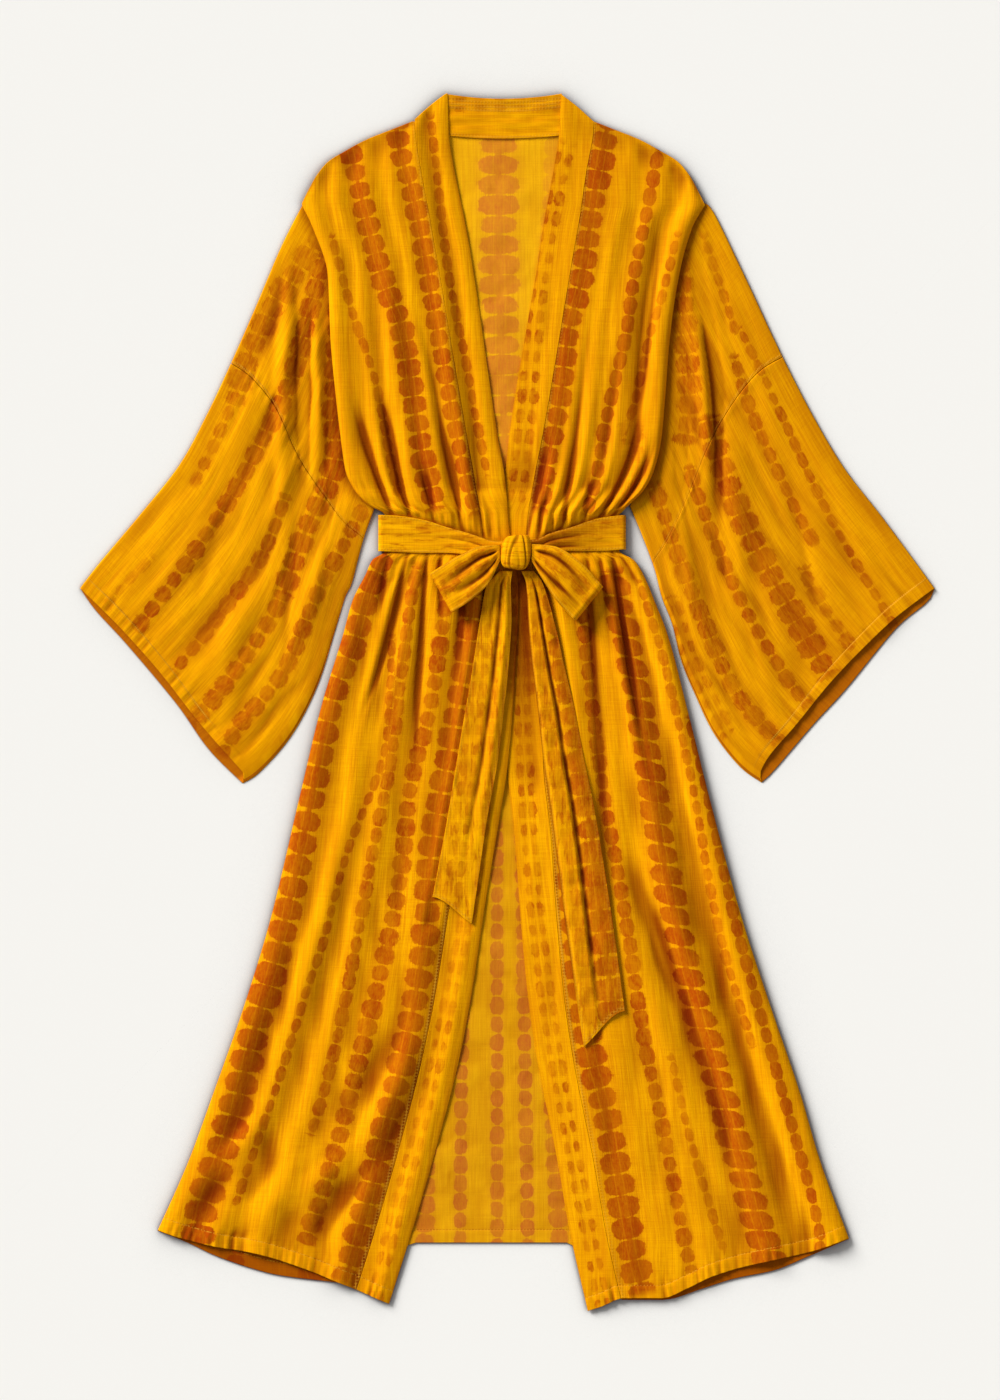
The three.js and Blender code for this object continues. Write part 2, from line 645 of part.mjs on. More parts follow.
// Plans of the sleeves. Each edge is a row of places from the body to the cuff, or from the outer
// fold to the underarm edge.
const sleevePlans = {
  left: {
    outer: [
      { out: -211, down: 119 }, { out: -233, down: 161 }, { out: -261, down: 227 }, { out: -287, down: 286 },
      { out: -312, down: 339 }, { out: -340, down: 390 }, { out: -382, down: 443 }, { out: -424, down: 493 },
      { out: -444, down: 519 },
    ],
    inner: [
      { out: -135, down: 436 }, { out: -146, down: 468 }, { out: -158, down: 514 }, { out: -165, down: 529 },
      { out: -176, down: 566 }, { out: -191, down: 615 }, { out: -209, down: 655 }, { out: -229, down: 686 },
      { out: -256, down: 715 }, { out: -272, down: 725 },
    ],
    armhole: [
      { out: -211, down: 119 }, { out: -191, down: 141 }, { out: -174, down: 191 }, { out: -170, down: 258 },
      { out: -164, down: 322 }, { out: -153, down: 397 }, { out: -135, down: 436 },
    ],
    cuff: [
      { out: -444, down: 519 }, { out: -404, down: 558 }, { out: -361, down: 606 }, { out: -317, down: 662 },
      { out: -272, down: 713 },
    ],
    cuffUnder: [
      { out: -444, down: 519 }, { out: -427, down: 543 }, { out: -394, down: 579 }, { out: -343, down: 640 },
      { out: -309, down: 688 }, { out: -272, down: 725 },
    ],
    seam: [{ across: 0, along: 0.39 }, { across: 0.5, along: 0.3 }, { across: 1, along: 0.105 }],
  },
  right: {
    outer: [
      { out: 212, down: 117 }, { out: 222, down: 126 }, { out: 255, down: 194 }, { out: 292, down: 273 },
      { out: 326, down: 339 }, { out: 359, down: 394 }, { out: 400, down: 447 }, { out: 453, down: 519 },
    ],
    inner: [
      { out: 133, down: 433 }, { out: 144, down: 460 }, { out: 158, down: 498 }, { out: 166, down: 529 },
      { out: 177, down: 558 }, { out: 186, down: 595 }, { out: 200, down: 630 }, { out: 220, down: 672 },
      { out: 247, down: 707 }, { out: 270, down: 724 },
    ],
    armhole: [
      { out: 212, down: 117 }, { out: 190, down: 141 }, { out: 175, down: 191 }, { out: 164, down: 258 },
      { out: 159, down: 322 }, { out: 147, down: 397 }, { out: 133, down: 433 },
    ],
    cuff: [
      { out: 453, down: 519 }, { out: 412, down: 550 }, { out: 377, down: 583 }, { out: 342, down: 620 },
      { out: 308, down: 662 }, { out: 281, down: 693 }, { out: 270, down: 712 },
    ],
    cuffUnder: [
      { out: 453, down: 519 }, { out: 446, down: 533 }, { out: 412, down: 562 }, { out: 360, down: 625 },
      { out: 326, down: 662 }, { out: 284, down: 711 }, { out: 270, down: 724 },
    ],
    seam: [{ across: 0, along: 0.385 }, { across: 0.5, along: 0.3 }, { across: 1, along: 0.2 }],
  },
};

const UPPER_CUFF_REACH = 0.965; // the upper layer stops this far along the underarm edge

// A sleeve's plan, laid flat: a patch between the armhole, the cuff and the two long edges.
class SleevePlan {
  constructor(side) {
    const plan = sleevePlans[side];
    const spline = (places) => (
      new THREE.SplineCurve(places.map(({ out, down }) => new THREE.Vector2(out, down)))
    );
    this.side = side;
    this.sign = side === 'left' ? -1 : 1;
    this.outer = spline(plan.outer);
    this.inner = spline(plan.inner);
    this.armhole = spline(plan.armhole);
    this.cuffs = { top: spline(plan.cuff), under: spline(plan.cuffUnder) };
    this.seam = profile(plan.seam, 'across', 'along');
    this.bodyEdge = profile(sideSeams, 'down', side);
  }

  at(across, along, layer) {
    const reach = layer === 'top' ? UPPER_CUFF_REACH : 1;
    const outer = this.outer.getPointAt(along);
    const inner = this.inner.getPointAt(along * reach);
    const armhole = this.armhole.getPointAt(across);
    const cuff = this.cuffs[layer].getPointAt(across);
    const corners = [
      this.outer.getPointAt(0), this.inner.getPointAt(0),
      this.outer.getPointAt(1), this.inner.getPointAt(reach),
    ];
    const blend = (axis) => {
      const near = mix(corners[0][axis], corners[1][axis], across);
      const far = mix(corners[2][axis], corners[3][axis], across);
      const lengthwise = mix(outer[axis], inner[axis], across);
      const crosswise = mix(armhole[axis], cuff[axis], along);
      return lengthwise + crosswise - mix(near, far, along);
    };
    return new THREE.Vector2(blend('x'), blend('y'));
  }

  // Height of the upper layer's outside over the surface, for a place well inside the edges.
  height(out, down) {
    const flat = 2 * CLOTH + SEAM_GAP;
    const fromBody = this.sign * (out - this.bodyEdge(Math.max(117, down)));
    const clear = down < ARMPIT ? ease(2, 20, fromBody) : 1;
    const rise = 1.2 + foldRise(sleeveFolds, this.side, out, down);
    return flat + clear * Math.max(0, rise);
  }
}

const SLEEVE_COLUMNS = 13;
const UNDER_COLUMNS = 6;
const EDGE_ROUND = 1.6; // how far the upper and under faces stop short of the rounded long edges

function sleeveRings(plan, alongShare, rows) {
  const rings = { outer: [], inner: [] };
  const half = (2 * CLOTH + SEAM_GAP) / 2;
  for (const row of rows) {
    const ring = { outer: [], inner: [] };
    const put = (across, layer, inset, edgeShare) => {
      const along = alongShare(across, row);
      const width = plan.at(0, along, layer).distanceTo(plan.at(1, along, layer));
      const edge = (inset + edgeShare) / width;
      return plan.at(mix(edge, 1 - edge, across), along, layer);
    };
    const middle = (across, inset) => {
      const top = put(across, 'top', inset, 0);
      const under = put(across, 'under', inset, 0);
      return top.lerp(under, 0.5);
    };
    const addMiddle = (across) => {
      const outside = middle(across, 0);
      const inside = middle(across, CLOTH);
      ring.outer.push(place(outside.x, outside.y, half));
      ring.inner.push(place(inside.x, inside.y, half));
    };
    addMiddle(0);
    for (let i = 0; i < SLEEVE_COLUMNS; i += 1) {
      const across = i / (SLEEVE_COLUMNS - 1);
      const outside = put(across, 'top', 0, EDGE_ROUND);
      const inside = put(across, 'top', CLOTH, EDGE_ROUND);
      const edgeFade = ease(0, 0.1, across) * (1 - ease(0.9, 1, across));
      const field = (out, down) => mix(2 * half, plan.height(out, down), edgeFade);
      const thick = uprightWall(field, CLOTH, outside.x, outside.y);
      const top = field(outside.x, outside.y);
      ring.outer.push(place(outside.x, outside.y, top + thick - CLOTH));
      ring.inner.push(place(inside.x, inside.y, top - CLOTH));
    }
    addMiddle(1);
    for (let i = UNDER_COLUMNS - 1; i >= 0; i -= 1) {
      const across = i / (UNDER_COLUMNS - 1);
      const outside = put(across, 'under', 0, EDGE_ROUND);
      const inside = put(across, 'under', CLOTH, EDGE_ROUND);
      ring.outer.push(place(outside.x, outside.y, 0));
      ring.inner.push(place(inside.x, inside.y, CLOTH));
    }
    rings.outer.push(ring.outer);
    rings.inner.push(ring.inner);
  }
  return rings;
}

function addSleeve(side) {
  const plan = new SleevePlan(side);
  const length = plan.outer.getLength();
  const armholeGap = SLEEVE_SEAM_GAP / length;
  const seamGap = SEAM_GAP / length;
  const upperRows = [0, 0.07, 0.15, 0.24, 0.34, 0.46, 0.6, 0.78, 1];
  const lowerRows = [0, 0.1, 0.24, 0.4, 0.56, 0.72, 0.87, 1];
  const aboveSeam = (across, row) => mix(armholeGap, plan.seam(across) - seamGap, row);
  const belowSeam = (across, row) => mix(plan.seam(across) + seamGap, 1, row);
  const upper = sleeveRings(plan, aboveSeam, upperRows);
  const lower = sleeveRings(plan, belowSeam, lowerRows);
  addPiece(`sleeve_upper_${side}`, tubeGeometry(upper.outer, upper.inner));
  addPiece(`sleeve_lower_${side}`, tubeGeometry(lower.outer, lower.inner));
}

// The belt
const BELT_MIDDLE = 14.5; // where the two stretches of the belt meet under the knot
const BELT_LEFT_END = -131; // outermost point of the belt at the left side
const BELT_RIGHT_END = 129;

// One stretch of the belt: from the middle of the back, round the side and over the front to the knot.
function addBelt(side) {
  const sign = side === 'left' ? -1 : 1;
  const end = side === 'left' ? BELT_LEFT_END : BELT_RIGHT_END;
  const turnRadius = (BELT_REST + BELT_CLOTH) / 2;
  const turnOut = end - sign * turnRadius;
  const path = [];
  for (const share of [0, 0.25, 0.5, 0.75, 1]) {
    path.push({ out: mix(sign * 0.2, turnOut, share), height: 0, tilt: -90 });
  }
  for (const turn of [-60, -30, 0, 30, 60]) {
    const angle = THREE.MathUtils.degToRad(turn);
    const out = turnOut + sign * turnRadius * Math.cos(angle);
    path.push({ out, height: turnRadius + turnRadius * Math.sin(angle), tilt: turn });
  }
  const last = BELT_MIDDLE + sign * 0.2;
  for (const share of [0, 0.12, 0.26, 0.4, 0.54, 0.66, 0.78, 0.88, 1]) {
    path.push({ out: mix(turnOut, last, share), height: 2 * turnRadius, tilt: 90 });
  }
  const across = [0, 0.2, 0.4, 0.6, 0.8, 1];
  const outside = [];
  const inside = [];
  path.forEach(({ out, height, tilt }) => {
    const angle = THREE.MathUtils.degToRad(tilt);
    const onFront = tilt === 90;
    const top = onFront ? beltTop(out) : beltTop(turnOut);
    const bottom = onFront ? beltBottom(out) : beltBottom(turnOut);
    const fromKnot = Math.abs(out - BELT_MIDDLE);
    const pleatShare = onFront ? ease(100, 30, fromKnot) * ease(4, 24, fromKnot) : 0;
    const row = across.map((share) => {
      const pleat = pleatShare * 1.5 * Math.abs(Math.sin(share * Math.PI * 2.5)) ** 0.7;
      return place(out, mix(top, bottom, share), height + pleat);
    });
    const outward = new THREE.Vector3(sign * Math.cos(angle), 0, Math.sin(angle));
    const inset = outward.multiplyScalar(-BELT_CLOTH);
    outside.push(row);
    inside.push(row.map((point) => point.clone().add(inset)));
  });
  laid.add(outside.slice(-9));
  addPiece(`belt_${side}`, sheetGeometry(inside, outside), beltFinish);
}

// The knot is a rounded wad of cloth, slightly waisted by the wrap round its middle.
const knot = { out: 13.5, down: 481.5, height: 18.2, halfWidth: 16, halfLength: 18, halfHeight: 8.6 };

function addKnot() {
  const rings = 11;
  const sides = 20;
  const vertices = [place(knot.out, knot.down - knot.halfLength, knot.height)];
  for (let ring = 1; ring < rings; ring += 1) {
    const polar = (Math.PI * ring) / rings;
    const girth = Math.sin(polar) ** 0.62;
    for (let side = 0; side < sides; side += 1) {
      const turn = (2 * Math.PI * side) / sides;
      const square = (value) => Math.sign(value) * Math.abs(value) ** 0.8;
      const groove = 1 - 0.05 * Math.cos(6 * turn) * Math.sin(polar);
      vertices.push(place(
        knot.out + knot.halfWidth * girth * square(Math.cos(turn)) * groove,
        knot.down - knot.halfLength * Math.cos(polar),
        knot.height + knot.halfHeight * girth * square(Math.sin(turn)) * groove,
      ));
    }
  }
  vertices.push(place(knot.out, knot.down + knot.halfLength, knot.height));
  const faces = [];
  const at = (ring, side) => 1 + (ring - 1) * sides + (side % sides);
  for (let side = 0; side < sides; side += 1) {
    faces.push([0, at(1, side), at(1, side + 1)]);
    faces.push([vertices.length - 1, at(rings - 1, side + 1), at(rings - 1, side)]);
    for (let ring = 1; ring < rings - 1; ring += 1) {
      faces.push(...quad(at(ring, side), at(ring + 1, side), at(ring + 1, side + 1), at(ring, side + 1)));
    }
  }
  addPiece('bow_knot', bodyGeometry(vertices, faces), beltFinish);
}

// Plans of the bow's loops, from the knot to the outer fold.
const loopPlans = {
  left: [
    { share: 0, upOut: -3.2, upDown: 474, lowOut: -3, lowDown: 490 },
    { share: 0.3, upOut: -23, upDown: 475, lowOut: -14, lowDown: 513 },
    { share: 0.6, upOut: -46, upDown: 485, lowOut: -34, lowDown: 532 },
    { share: 1, upOut: -77, upDown: 504, lowOut: -54, lowDown: 545 },
  ],
  right: [
    { share: 0, upOut: 30.2, upDown: 473, lowOut: 30, lowDown: 491 },
    { share: 0.3, upOut: 52, upDown: 475, lowOut: 42, lowDown: 511 },
    { share: 0.6, upOut: 78, upDown: 489, lowOut: 55, lowDown: 531 },
    { share: 1, upOut: 105, upDown: 518, lowOut: 76, lowDown: 554 },
  ],
};

const loopStand = [
  { share: 0, low: 13.5, high: 20.5 },
  { share: 0.2, low: 10.6, high: 23.5 },
  { share: 0.5, low: 9.6, high: 25 },
  { share: 0.8, low: 9.6, high: 23.5 },
  { share: 1, low: 9.6, high: 20.5 },
];

function addLoop(side) {
  const table = loopPlans[side];
  const columns = Object.fromEntries(
    ['upOut', 'upDown', 'lowOut', 'lowDown'].map((column) => [column, profile(table, 'share', column)]),
  );
  const low = profile(loopStand, 'share', 'low');
  const high = profile(loopStand, 'share', 'high');
  const plan = (share, across) => ({
    out: mix(columns.upOut(share), columns.lowOut(share), across),
    down: mix(columns.upDown(share), columns.lowDown(share), across),
  });
  const seat = (share, across) => {
    const { out, down } = plan(share, across);
    return Math.max(low(share), laid.around(out, down, 8, 8) + REST_GAP);
  };
  const acrossShares = [0, 0.25, 0.5, 0.75, 1];
  const turnShare = 0.93;
  const steps = [];
  const stretch = [0, 0.15, 0.32, 0.5, 0.68, 0.84, 1].map((share) => share * turnShare);
  for (const share of stretch) steps.push({ share, layer: 'low' });
  for (const turn of [-60, -30, 0, 30, 60]) steps.push({ share: turnShare, layer: 'turn', turn });
  for (const share of stretch.toReversed()) steps.push({ share, layer: 'high' });
  const outside = [];
  const inside = [];
  for (const step of steps) {
    const rows = { outside: [], inside: [] };
    for (const across of acrossShares) {
      const bottom = seat(step.share, across);
      const top = Math.max(high(step.share), bottom + 6) - 2.2 * (across - 0.5) ** 2;
      const { out, down } = plan(step.share, across);
      if (step.layer === 'turn') {
        const angle = THREE.MathUtils.degToRad(step.turn);
        const reach = 1 - turnShare;
        const outer = plan(turnShare + reach * Math.cos(angle), across);
        const innerShare = turnShare + (reach - 0.018) * Math.cos(angle);
        const inner = plan(innerShare, across);
        const middle = (bottom + top) / 2;
        const radius = (top - bottom) / 2;
        rows.outside.push(place(outer.out, outer.down, middle + radius * Math.sin(angle)));
        rows.inside.push(place(inner.out, inner.down, middle + (radius - BELT_CLOTH) * Math.sin(angle)));
      } else if (step.layer === 'low') {
        rows.outside.push(place(out, down, bottom));
        rows.inside.push(place(out, down, bottom + BELT_CLOTH));
      } else {
        rows.outside.push(place(out, down, top));
        rows.inside.push(place(out, down, top - BELT_CLOTH));
      }
    }
    outside.push(rows.outside);
    inside.push(rows.inside);
  }
  addPiece(`bow_loop_${side}`, sheetGeometry(inside, outside), beltFinish);
}

// The belt's hanging ends, from the knot to their slanted tips.
const tailPlans = {
  left: {
    edges: [
      { down: 501, left: -3, right: 10 },
      { down: 516, left: -17, right: 8 },
      { down: 546, left: -23, right: 9 },
      { down: 610, left: -33, right: 5 },
      { down: 656, left: -41, right: 0 },
      { down: 698, left: -48, right: -5 },
      { down: 764, left: -59, right: -17 },
      { down: 833, left: -72, right: -27 },
      { down: 873, left: -80, right: -33 },
    ],
    tip: [{ out: -80, down: 843 }, { out: -75, down: 843 }, { out: -33, down: 871 }],
  },
  right: {
    edges: [
      { down: 501, left: 19, right: 32 },
      { down: 513, left: 24, right: 41 },
      { down: 559, left: 27, right: 55 },
      { down: 603, left: 31, right: 65 },
      { down: 650, left: 37, right: 76 },
      { down: 698, left: 42, right: 85 },
      { down: 745, left: 49, right: 95 },
      { down: 798, left: 56, right: 104 },
      { down: 882, left: 67, right: 117 },
      { down: 963, left: 79, right: 128 },
      { down: 1002, left: 85, right: 134 },
    ],
    tip: [{ out: 85, down: 1000 }, { out: 128, down: 963 }, { out: 134, down: 963 }],
  },
};

function addTail(side) {
  const { edges, tip } = tailPlans[side];
  const left = profile(edges, 'down', 'left');
  const right = profile(edges, 'down', 'right');
  const end = profile(tip, 'out', 'down');
  const rows = [0, 0.02, 0.05, 0.09, 0.14, 0.21, 0.29, 0.38, 0.47, 0.56, 0.66, 0.76, 0.86, 0.94, 1];
  const columns = [0, 0.33, 0.66, 1];
  const spacing = (right(700) - left(700)) / 3;
  const lower = rows.map((row, i) => columns.map((column) => {
    const flow = (down) => mix(left(down), right(down), column);
    const tipDown = meet(end, flow, 900);
    const down = mix(501, tipDown, row);
    const step = ((rows[i + 1] ?? 1) - (rows[i - 1] ?? 0)) * (tipDown - 501) * 0.5;
    const fromKnot = 12.5 * (1 - ease(501, 545, down));
    const crown = 0.8 * Math.sin(Math.PI * column);
    const seat = laid.around(flow(down), down, spacing, Math.min(20, step)) + REST_GAP + crown;
    return place(flow(down), down, Math.max(seat, fromKnot));
  }));
  const upper = lower.map((row) => row.map((point) => place(point.x, -point.y, point.z + BELT_CLOTH)));
  laid.add(upper);
  addPiece(`belt_tail_${side}`, sheetGeometry(lower, upper), beltFinish);
}

addBack();
addFrontHalf(new FrontHalf('right', 1, rightHem));
addFrontHalf(new FrontHalf('left', -1, leftHem));
addNeckBand();
addSleeve('left');
addSleeve('right');
addBelt('left');
addBelt('right');
addKnot();
addTail('left');
addTail('right');
addLoop('left');
addLoop('right');

// The origin is under the middle of the laid-out garment, on the surface that it lies on.
const box = new THREE.Box3().setFromObject(garment);
const middle = box.getCenter(new THREE.Vector3());
garment.position.set(-middle.x, -middle.y, 0);

export default garment;
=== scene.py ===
"""A light ankle-length kimono cover-up, laid flat with its belt tied in a bow.

Sizes are in millimetres until a mesh is made. "Out" runs sideways from the centre line, towards the
viewer's right, and "down" from the top of the collar to the hem. Left and right are the viewer's.
"""
import logging
import math
from dataclasses import dataclass
from enum import Enum
from typing import Callable, NamedTuple, Sequence

import bpy
import numpy as np
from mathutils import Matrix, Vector
from mathutils.bvhtree import BVHTree

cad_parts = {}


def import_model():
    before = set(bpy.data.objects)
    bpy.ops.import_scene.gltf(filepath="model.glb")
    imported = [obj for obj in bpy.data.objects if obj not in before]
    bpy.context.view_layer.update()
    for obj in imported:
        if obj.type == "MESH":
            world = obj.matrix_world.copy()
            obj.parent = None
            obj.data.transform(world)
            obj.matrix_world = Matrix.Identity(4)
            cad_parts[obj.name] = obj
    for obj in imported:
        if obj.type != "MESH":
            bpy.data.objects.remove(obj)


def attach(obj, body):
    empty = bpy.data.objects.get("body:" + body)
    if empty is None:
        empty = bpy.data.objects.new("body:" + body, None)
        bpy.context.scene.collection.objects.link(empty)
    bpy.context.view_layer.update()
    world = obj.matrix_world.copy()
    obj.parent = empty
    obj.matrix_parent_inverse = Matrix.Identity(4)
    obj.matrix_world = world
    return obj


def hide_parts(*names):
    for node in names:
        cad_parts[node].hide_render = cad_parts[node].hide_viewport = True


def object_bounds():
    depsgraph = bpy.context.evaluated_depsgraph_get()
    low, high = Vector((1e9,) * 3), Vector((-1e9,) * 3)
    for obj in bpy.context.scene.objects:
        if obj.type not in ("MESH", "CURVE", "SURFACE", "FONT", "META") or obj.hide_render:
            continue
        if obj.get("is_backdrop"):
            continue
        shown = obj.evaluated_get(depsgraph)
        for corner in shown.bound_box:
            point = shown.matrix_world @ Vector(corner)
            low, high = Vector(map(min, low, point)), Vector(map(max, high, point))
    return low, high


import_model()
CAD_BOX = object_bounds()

log = logging.getLogger("kimono")

MM = 0.001
ORIGIN_OUT = 4.5
ORIGIN_DOWN = 638.85

CLOTH = 1.2
BAND_CLOTH = 1.4
BELT_CLOTH = 1.4
SHELL = 0.8
SEAM_GAP = 0.3
SLEEVE_SEAM_GAP = 0.5
STEEPEST = 1.8
WAIST_TOP = 442.0
WAIST_BOTTOM = 480.0
BELT_LIFT = 1.8
WAIST_BULK = 1.8
BELT_REST = 7.0
ARMPIT = 436.0
HEM_TURN = 13.5
HEM_STEPS = (15, 14.4, 13.9, 13.5, 13.1, 12.4, 9, 5, 2, 0.7, 0)
STITCH = 0.0034
HALF_TUBE = CLOTH + SEAM_GAP / 2
SLEEVE_WIDE = 420
SLEEVE_LONG = 480
TAIL_TOP = 501

Array = np.ndarray
Number = float | Array
Body = bpy.types.Object
Socket = bpy.types.NodeSocket
Input = Socket | float
Plan = tuple[Array, Array]
Colour = tuple[float, float, float, float]
Chart = tuple[float, float]
Field = Callable[[Array, Array], Array]


class Side(Enum):
    """The viewer's left or right half of the garment, with the sign of its outward direction."""

    LEFT = -1
    RIGHT = 1

    @property
    def word(self) -> str:
        """The side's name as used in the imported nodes."""
        return self.name.lower()


class DotKind(Enum):
    """How one tied and dyed row is stitched: one dot across, a pair, or two thin dashes."""

    SINGLE = 0
    DOUBLE = 1
    DASH = 2


def mix(start: Number, end: Number, share: Number) -> Number:
    """Goes from start to end by a share."""
    return start + (end - start) * share


def bell(distance: Number, width: Number) -> Number:
    """A rounded bump of height 1."""
    return np.exp(-((distance / width) ** 2))


def ease(start: Number, end: Number, value: Number) -> Number:
    """Rises smoothly from 0 at start to 1 at end."""
    share = np.clip((value - start) / (end - start), 0.0, 1.0)
    return share * share * (3 - 2 * share)


def world(out: Number, down: Number, height: Number) -> Array:
    """Turns places on the laid-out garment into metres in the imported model's frame."""
    out, down, height = np.broadcast_arrays(out, down, height)
    return np.stack([(out - ORIGIN_OUT) * MM, (ORIGIN_DOWN - down) * MM, height * MM], axis=-1)


class Profile:
    """A smooth curve through a table that never overshoots its rows."""

    def __init__(self, knots: Sequence[float], values: Sequence[float]) -> None:
        """Fits the curve.

        Args:
            knots: places along the curve, rising.
            values: the curve's value at each of them.
        """
        self.knots = np.asarray(knots, float)
        self.values = np.asarray(values, float)
        rises = np.diff(self.values) / np.diff(self.knots)
        self.slopes = np.concatenate([rises[:1], np.zeros(len(rises) - 1), rises[-1:]])
        before, after = rises[:-1], rises[1:]
        same = before * after > 0
        total = np.where(same, before + after, 1.0)
        self.slopes[1:-1] = np.where(same, 2 * before * after / total, 0.0)

    def __call__(self, at: Number) -> Number:
        """Reads the curve.

        Args:
            at: a place or places along it.

        Returns:
            Its value there.
        """
        at = np.clip(at, self.knots[0], self.knots[-1])
        i = np.clip(np.searchsorted(self.knots, at, side="right") - 1, 0, len(self.knots) - 2)
        span = self.knots[i + 1] - self.knots[i]
        t = (at - self.knots[i]) / span
        start = self.values[i] * (1 + 2 * t) * (1 - t) ** 2 + self.slopes[i] * span * t * (1 - t) ** 2
        end = self.values[i + 1] * t * t * (3 - 2 * t) - self.slopes[i + 1] * span * t * t * (1 - t)
        return start + end


class Spline:
    """A smooth curve through points in the plane, read by its share of length."""

    def __init__(self, points: Sequence[tuple[float, float]], steps: int = 60) -> None:
        """Fits the curve.

        Args:
            points: the places that it runs through.
            steps: samples between two of them.
        """
        knots = np.asarray(points, float)
        last = len(knots) - 1
        samples = []
        for i in range(last):
            before, start = knots[max(i - 1, 0)], knots[i]
            end, after = knots[i + 1], knots[min(i + 2, last)]
            t = np.linspace(0, 1, steps, endpoint=False)[:, None]
            leave, arrive = (end - before) / 2, (after - start) / 2
            cubic = (2 * start - 2 * end + leave + arrive) * t ** 3
            square = (-3 * start + 3 * end - 2 * leave - arrive) * t ** 2
            samples.append(cubic + square + leave * t + start)
        self.points = np.concatenate([*samples, knots[-1:]])
        lengths = np.hypot(*np.diff(self.points, axis=0).T)
        self.along = np.concatenate([[0], np.cumsum(lengths)])
        self.length = self.along[-1]

    def at(self, share: Number) -> Plan:
        """Out and down at a share of the length."""
        where = np.asarray(share) * self.length
        return tuple(np.interp(where, self.along, self.points[:, axis]) for axis in (0, 1))


class SidePlace(NamedTuple):
    """One row of a table of left and right edges."""

    down: float
    left: float
    right: float


class BandPlace(NamedTuple):
    """One row of the front bands: free edge and seam on each side."""

    down: float
    left_open: float
    left_seam: float
    right_open: float
    right_seam: float


class Spot(NamedTuple):
    """A place on the laid-out garment."""

    out: float
    down: float


class BeltPlace(NamedTuple):
    """The belt's edges at one place across the front."""

    out: float
    top: float
    bottom: float


class Crease(NamedTuple):
    """A fold or gather from one place to another."""

    out: float
    down: float
    to_out: float
    to_down: float
    bow: float
    wide: float
    size: float


LEFT, RIGHT = Side.LEFT, Side.RIGHT


def table_of(kind: type, *rows: tuple[float, ...]) -> tuple:
    """Names the columns of a table's rows."""
    return tuple(kind(*row) for row in rows)


SIDE_SEAMS = table_of(
    SidePlace, (117, -211, 212), (140, -200, 199), (190, -184, 185), (258, -181, 175), (322, -175, 170),
    (364, -170, 166), (397, -165, 158), (416, -156, 148), (432, -141, 132), (442, -124, 122),
    (480, -124, 122), (489, -137, 137), (504, -144, 147), (532, -158, 159), (568, -168, 173),
    (644, -191, 193), (740, -214, 217), (866, -244, 251), (958, -272, 281), (1049, -304, 312),
    (1120, -330, 333), (1201, -366, 363),
)
BACK_SIDES = table_of(
    SidePlace, (117, -209, 210), (140, -190, 189), (190, -173, 174), (258, -167, 161), (322, -160, 155),
    (397, -148, 142), (436, -130, 128), (444, -123, 121), (480, -123, 121),
)
BAND_EDGES = table_of(
    BandPlace, (0, -58, -94, 61, 97), (40, -57, -92, 59, 95), (80, -51, -86, 53, 88),
    (134, -40, -76, 43, 80), (174, -33, -69, 37, 73), (363, -5, -37, 6, 41), (403, 2, -30, 2, 33),
    (462, 7, -21, -3, 25), (489, 14, -20, -2, 30), (531, 16, -20, -2, 35), (583, 14, -22, 0, 38),
    (650, 10, -27, 2, 40), (713, 4, -33, 5, 43), (775, -6, -43, 12, 50), (860, -20, -57, 18, 56),
    (946, -33, -71, 26, 64), (1014, -46, -85, 36, 74), (1114, -72, -111, 56, 94), (1199, -97, -136, 71, 109),
    (1278, -122, -161, 89, 127),
)
SHOULDER_LINE = table_of(
    Spot, (95, 29), (118, 38), (143, 48), (167, 61), (183, 71), (195, 85), (203, 99), (212, 117),
)
COLLAR_PEAKS = table_of(Spot, (60, 0), (77, 13), (95, 29))
LEFT_HEM = table_of(
    Spot, (-366, 1191), (-341, 1200), (-301, 1210), (-260, 1217), (-223, 1228), (-181, 1244), (-150, 1257),
    (-120, 1270),
)
RIGHT_HEM = table_of(
    Spot, (88, 1278), (103, 1273), (127, 1264), (167, 1264), (193, 1254), (220, 1241), (274, 1226),
    (317, 1217), (363, 1201),
)
BACK_HEM = table_of(
    Spot, (-366, 1192), (-331, 1206), (-301, 1220), (-260, 1234), (-236, 1240), (-181, 1247), (-155, 1250),
    (-118, 1222), (-90, 1206), (66, 1206), (92, 1228), (126, 1266), (167, 1266), (210, 1254), (242, 1244),
    (285, 1235), (317, 1222), (363, 1202),
)
BELT_EDGES = table_of(
    BeltPlace, (-132, 442, 480), (-112, 443, 481), (-85, 447, 482), (-59, 455, 482), (-37, 461, 484),
    (-4, 470, 491), (33, 468, 490), (50, 461, 482), (71, 455, 480), (104, 445, 480), (129, 442, 478),
)
BLOUSED = ((0, 0), (8, 4.6), (20, 8), (40, 9), (80, 6.5), (160, 4.5), (300, 3.4), (420, 2))
FLARED = ((0, 0), (8, 2.2), (20, 4.0), (50, 5.2), (120, 4.2), (300, 3.4), (700, 3), (800, 2))

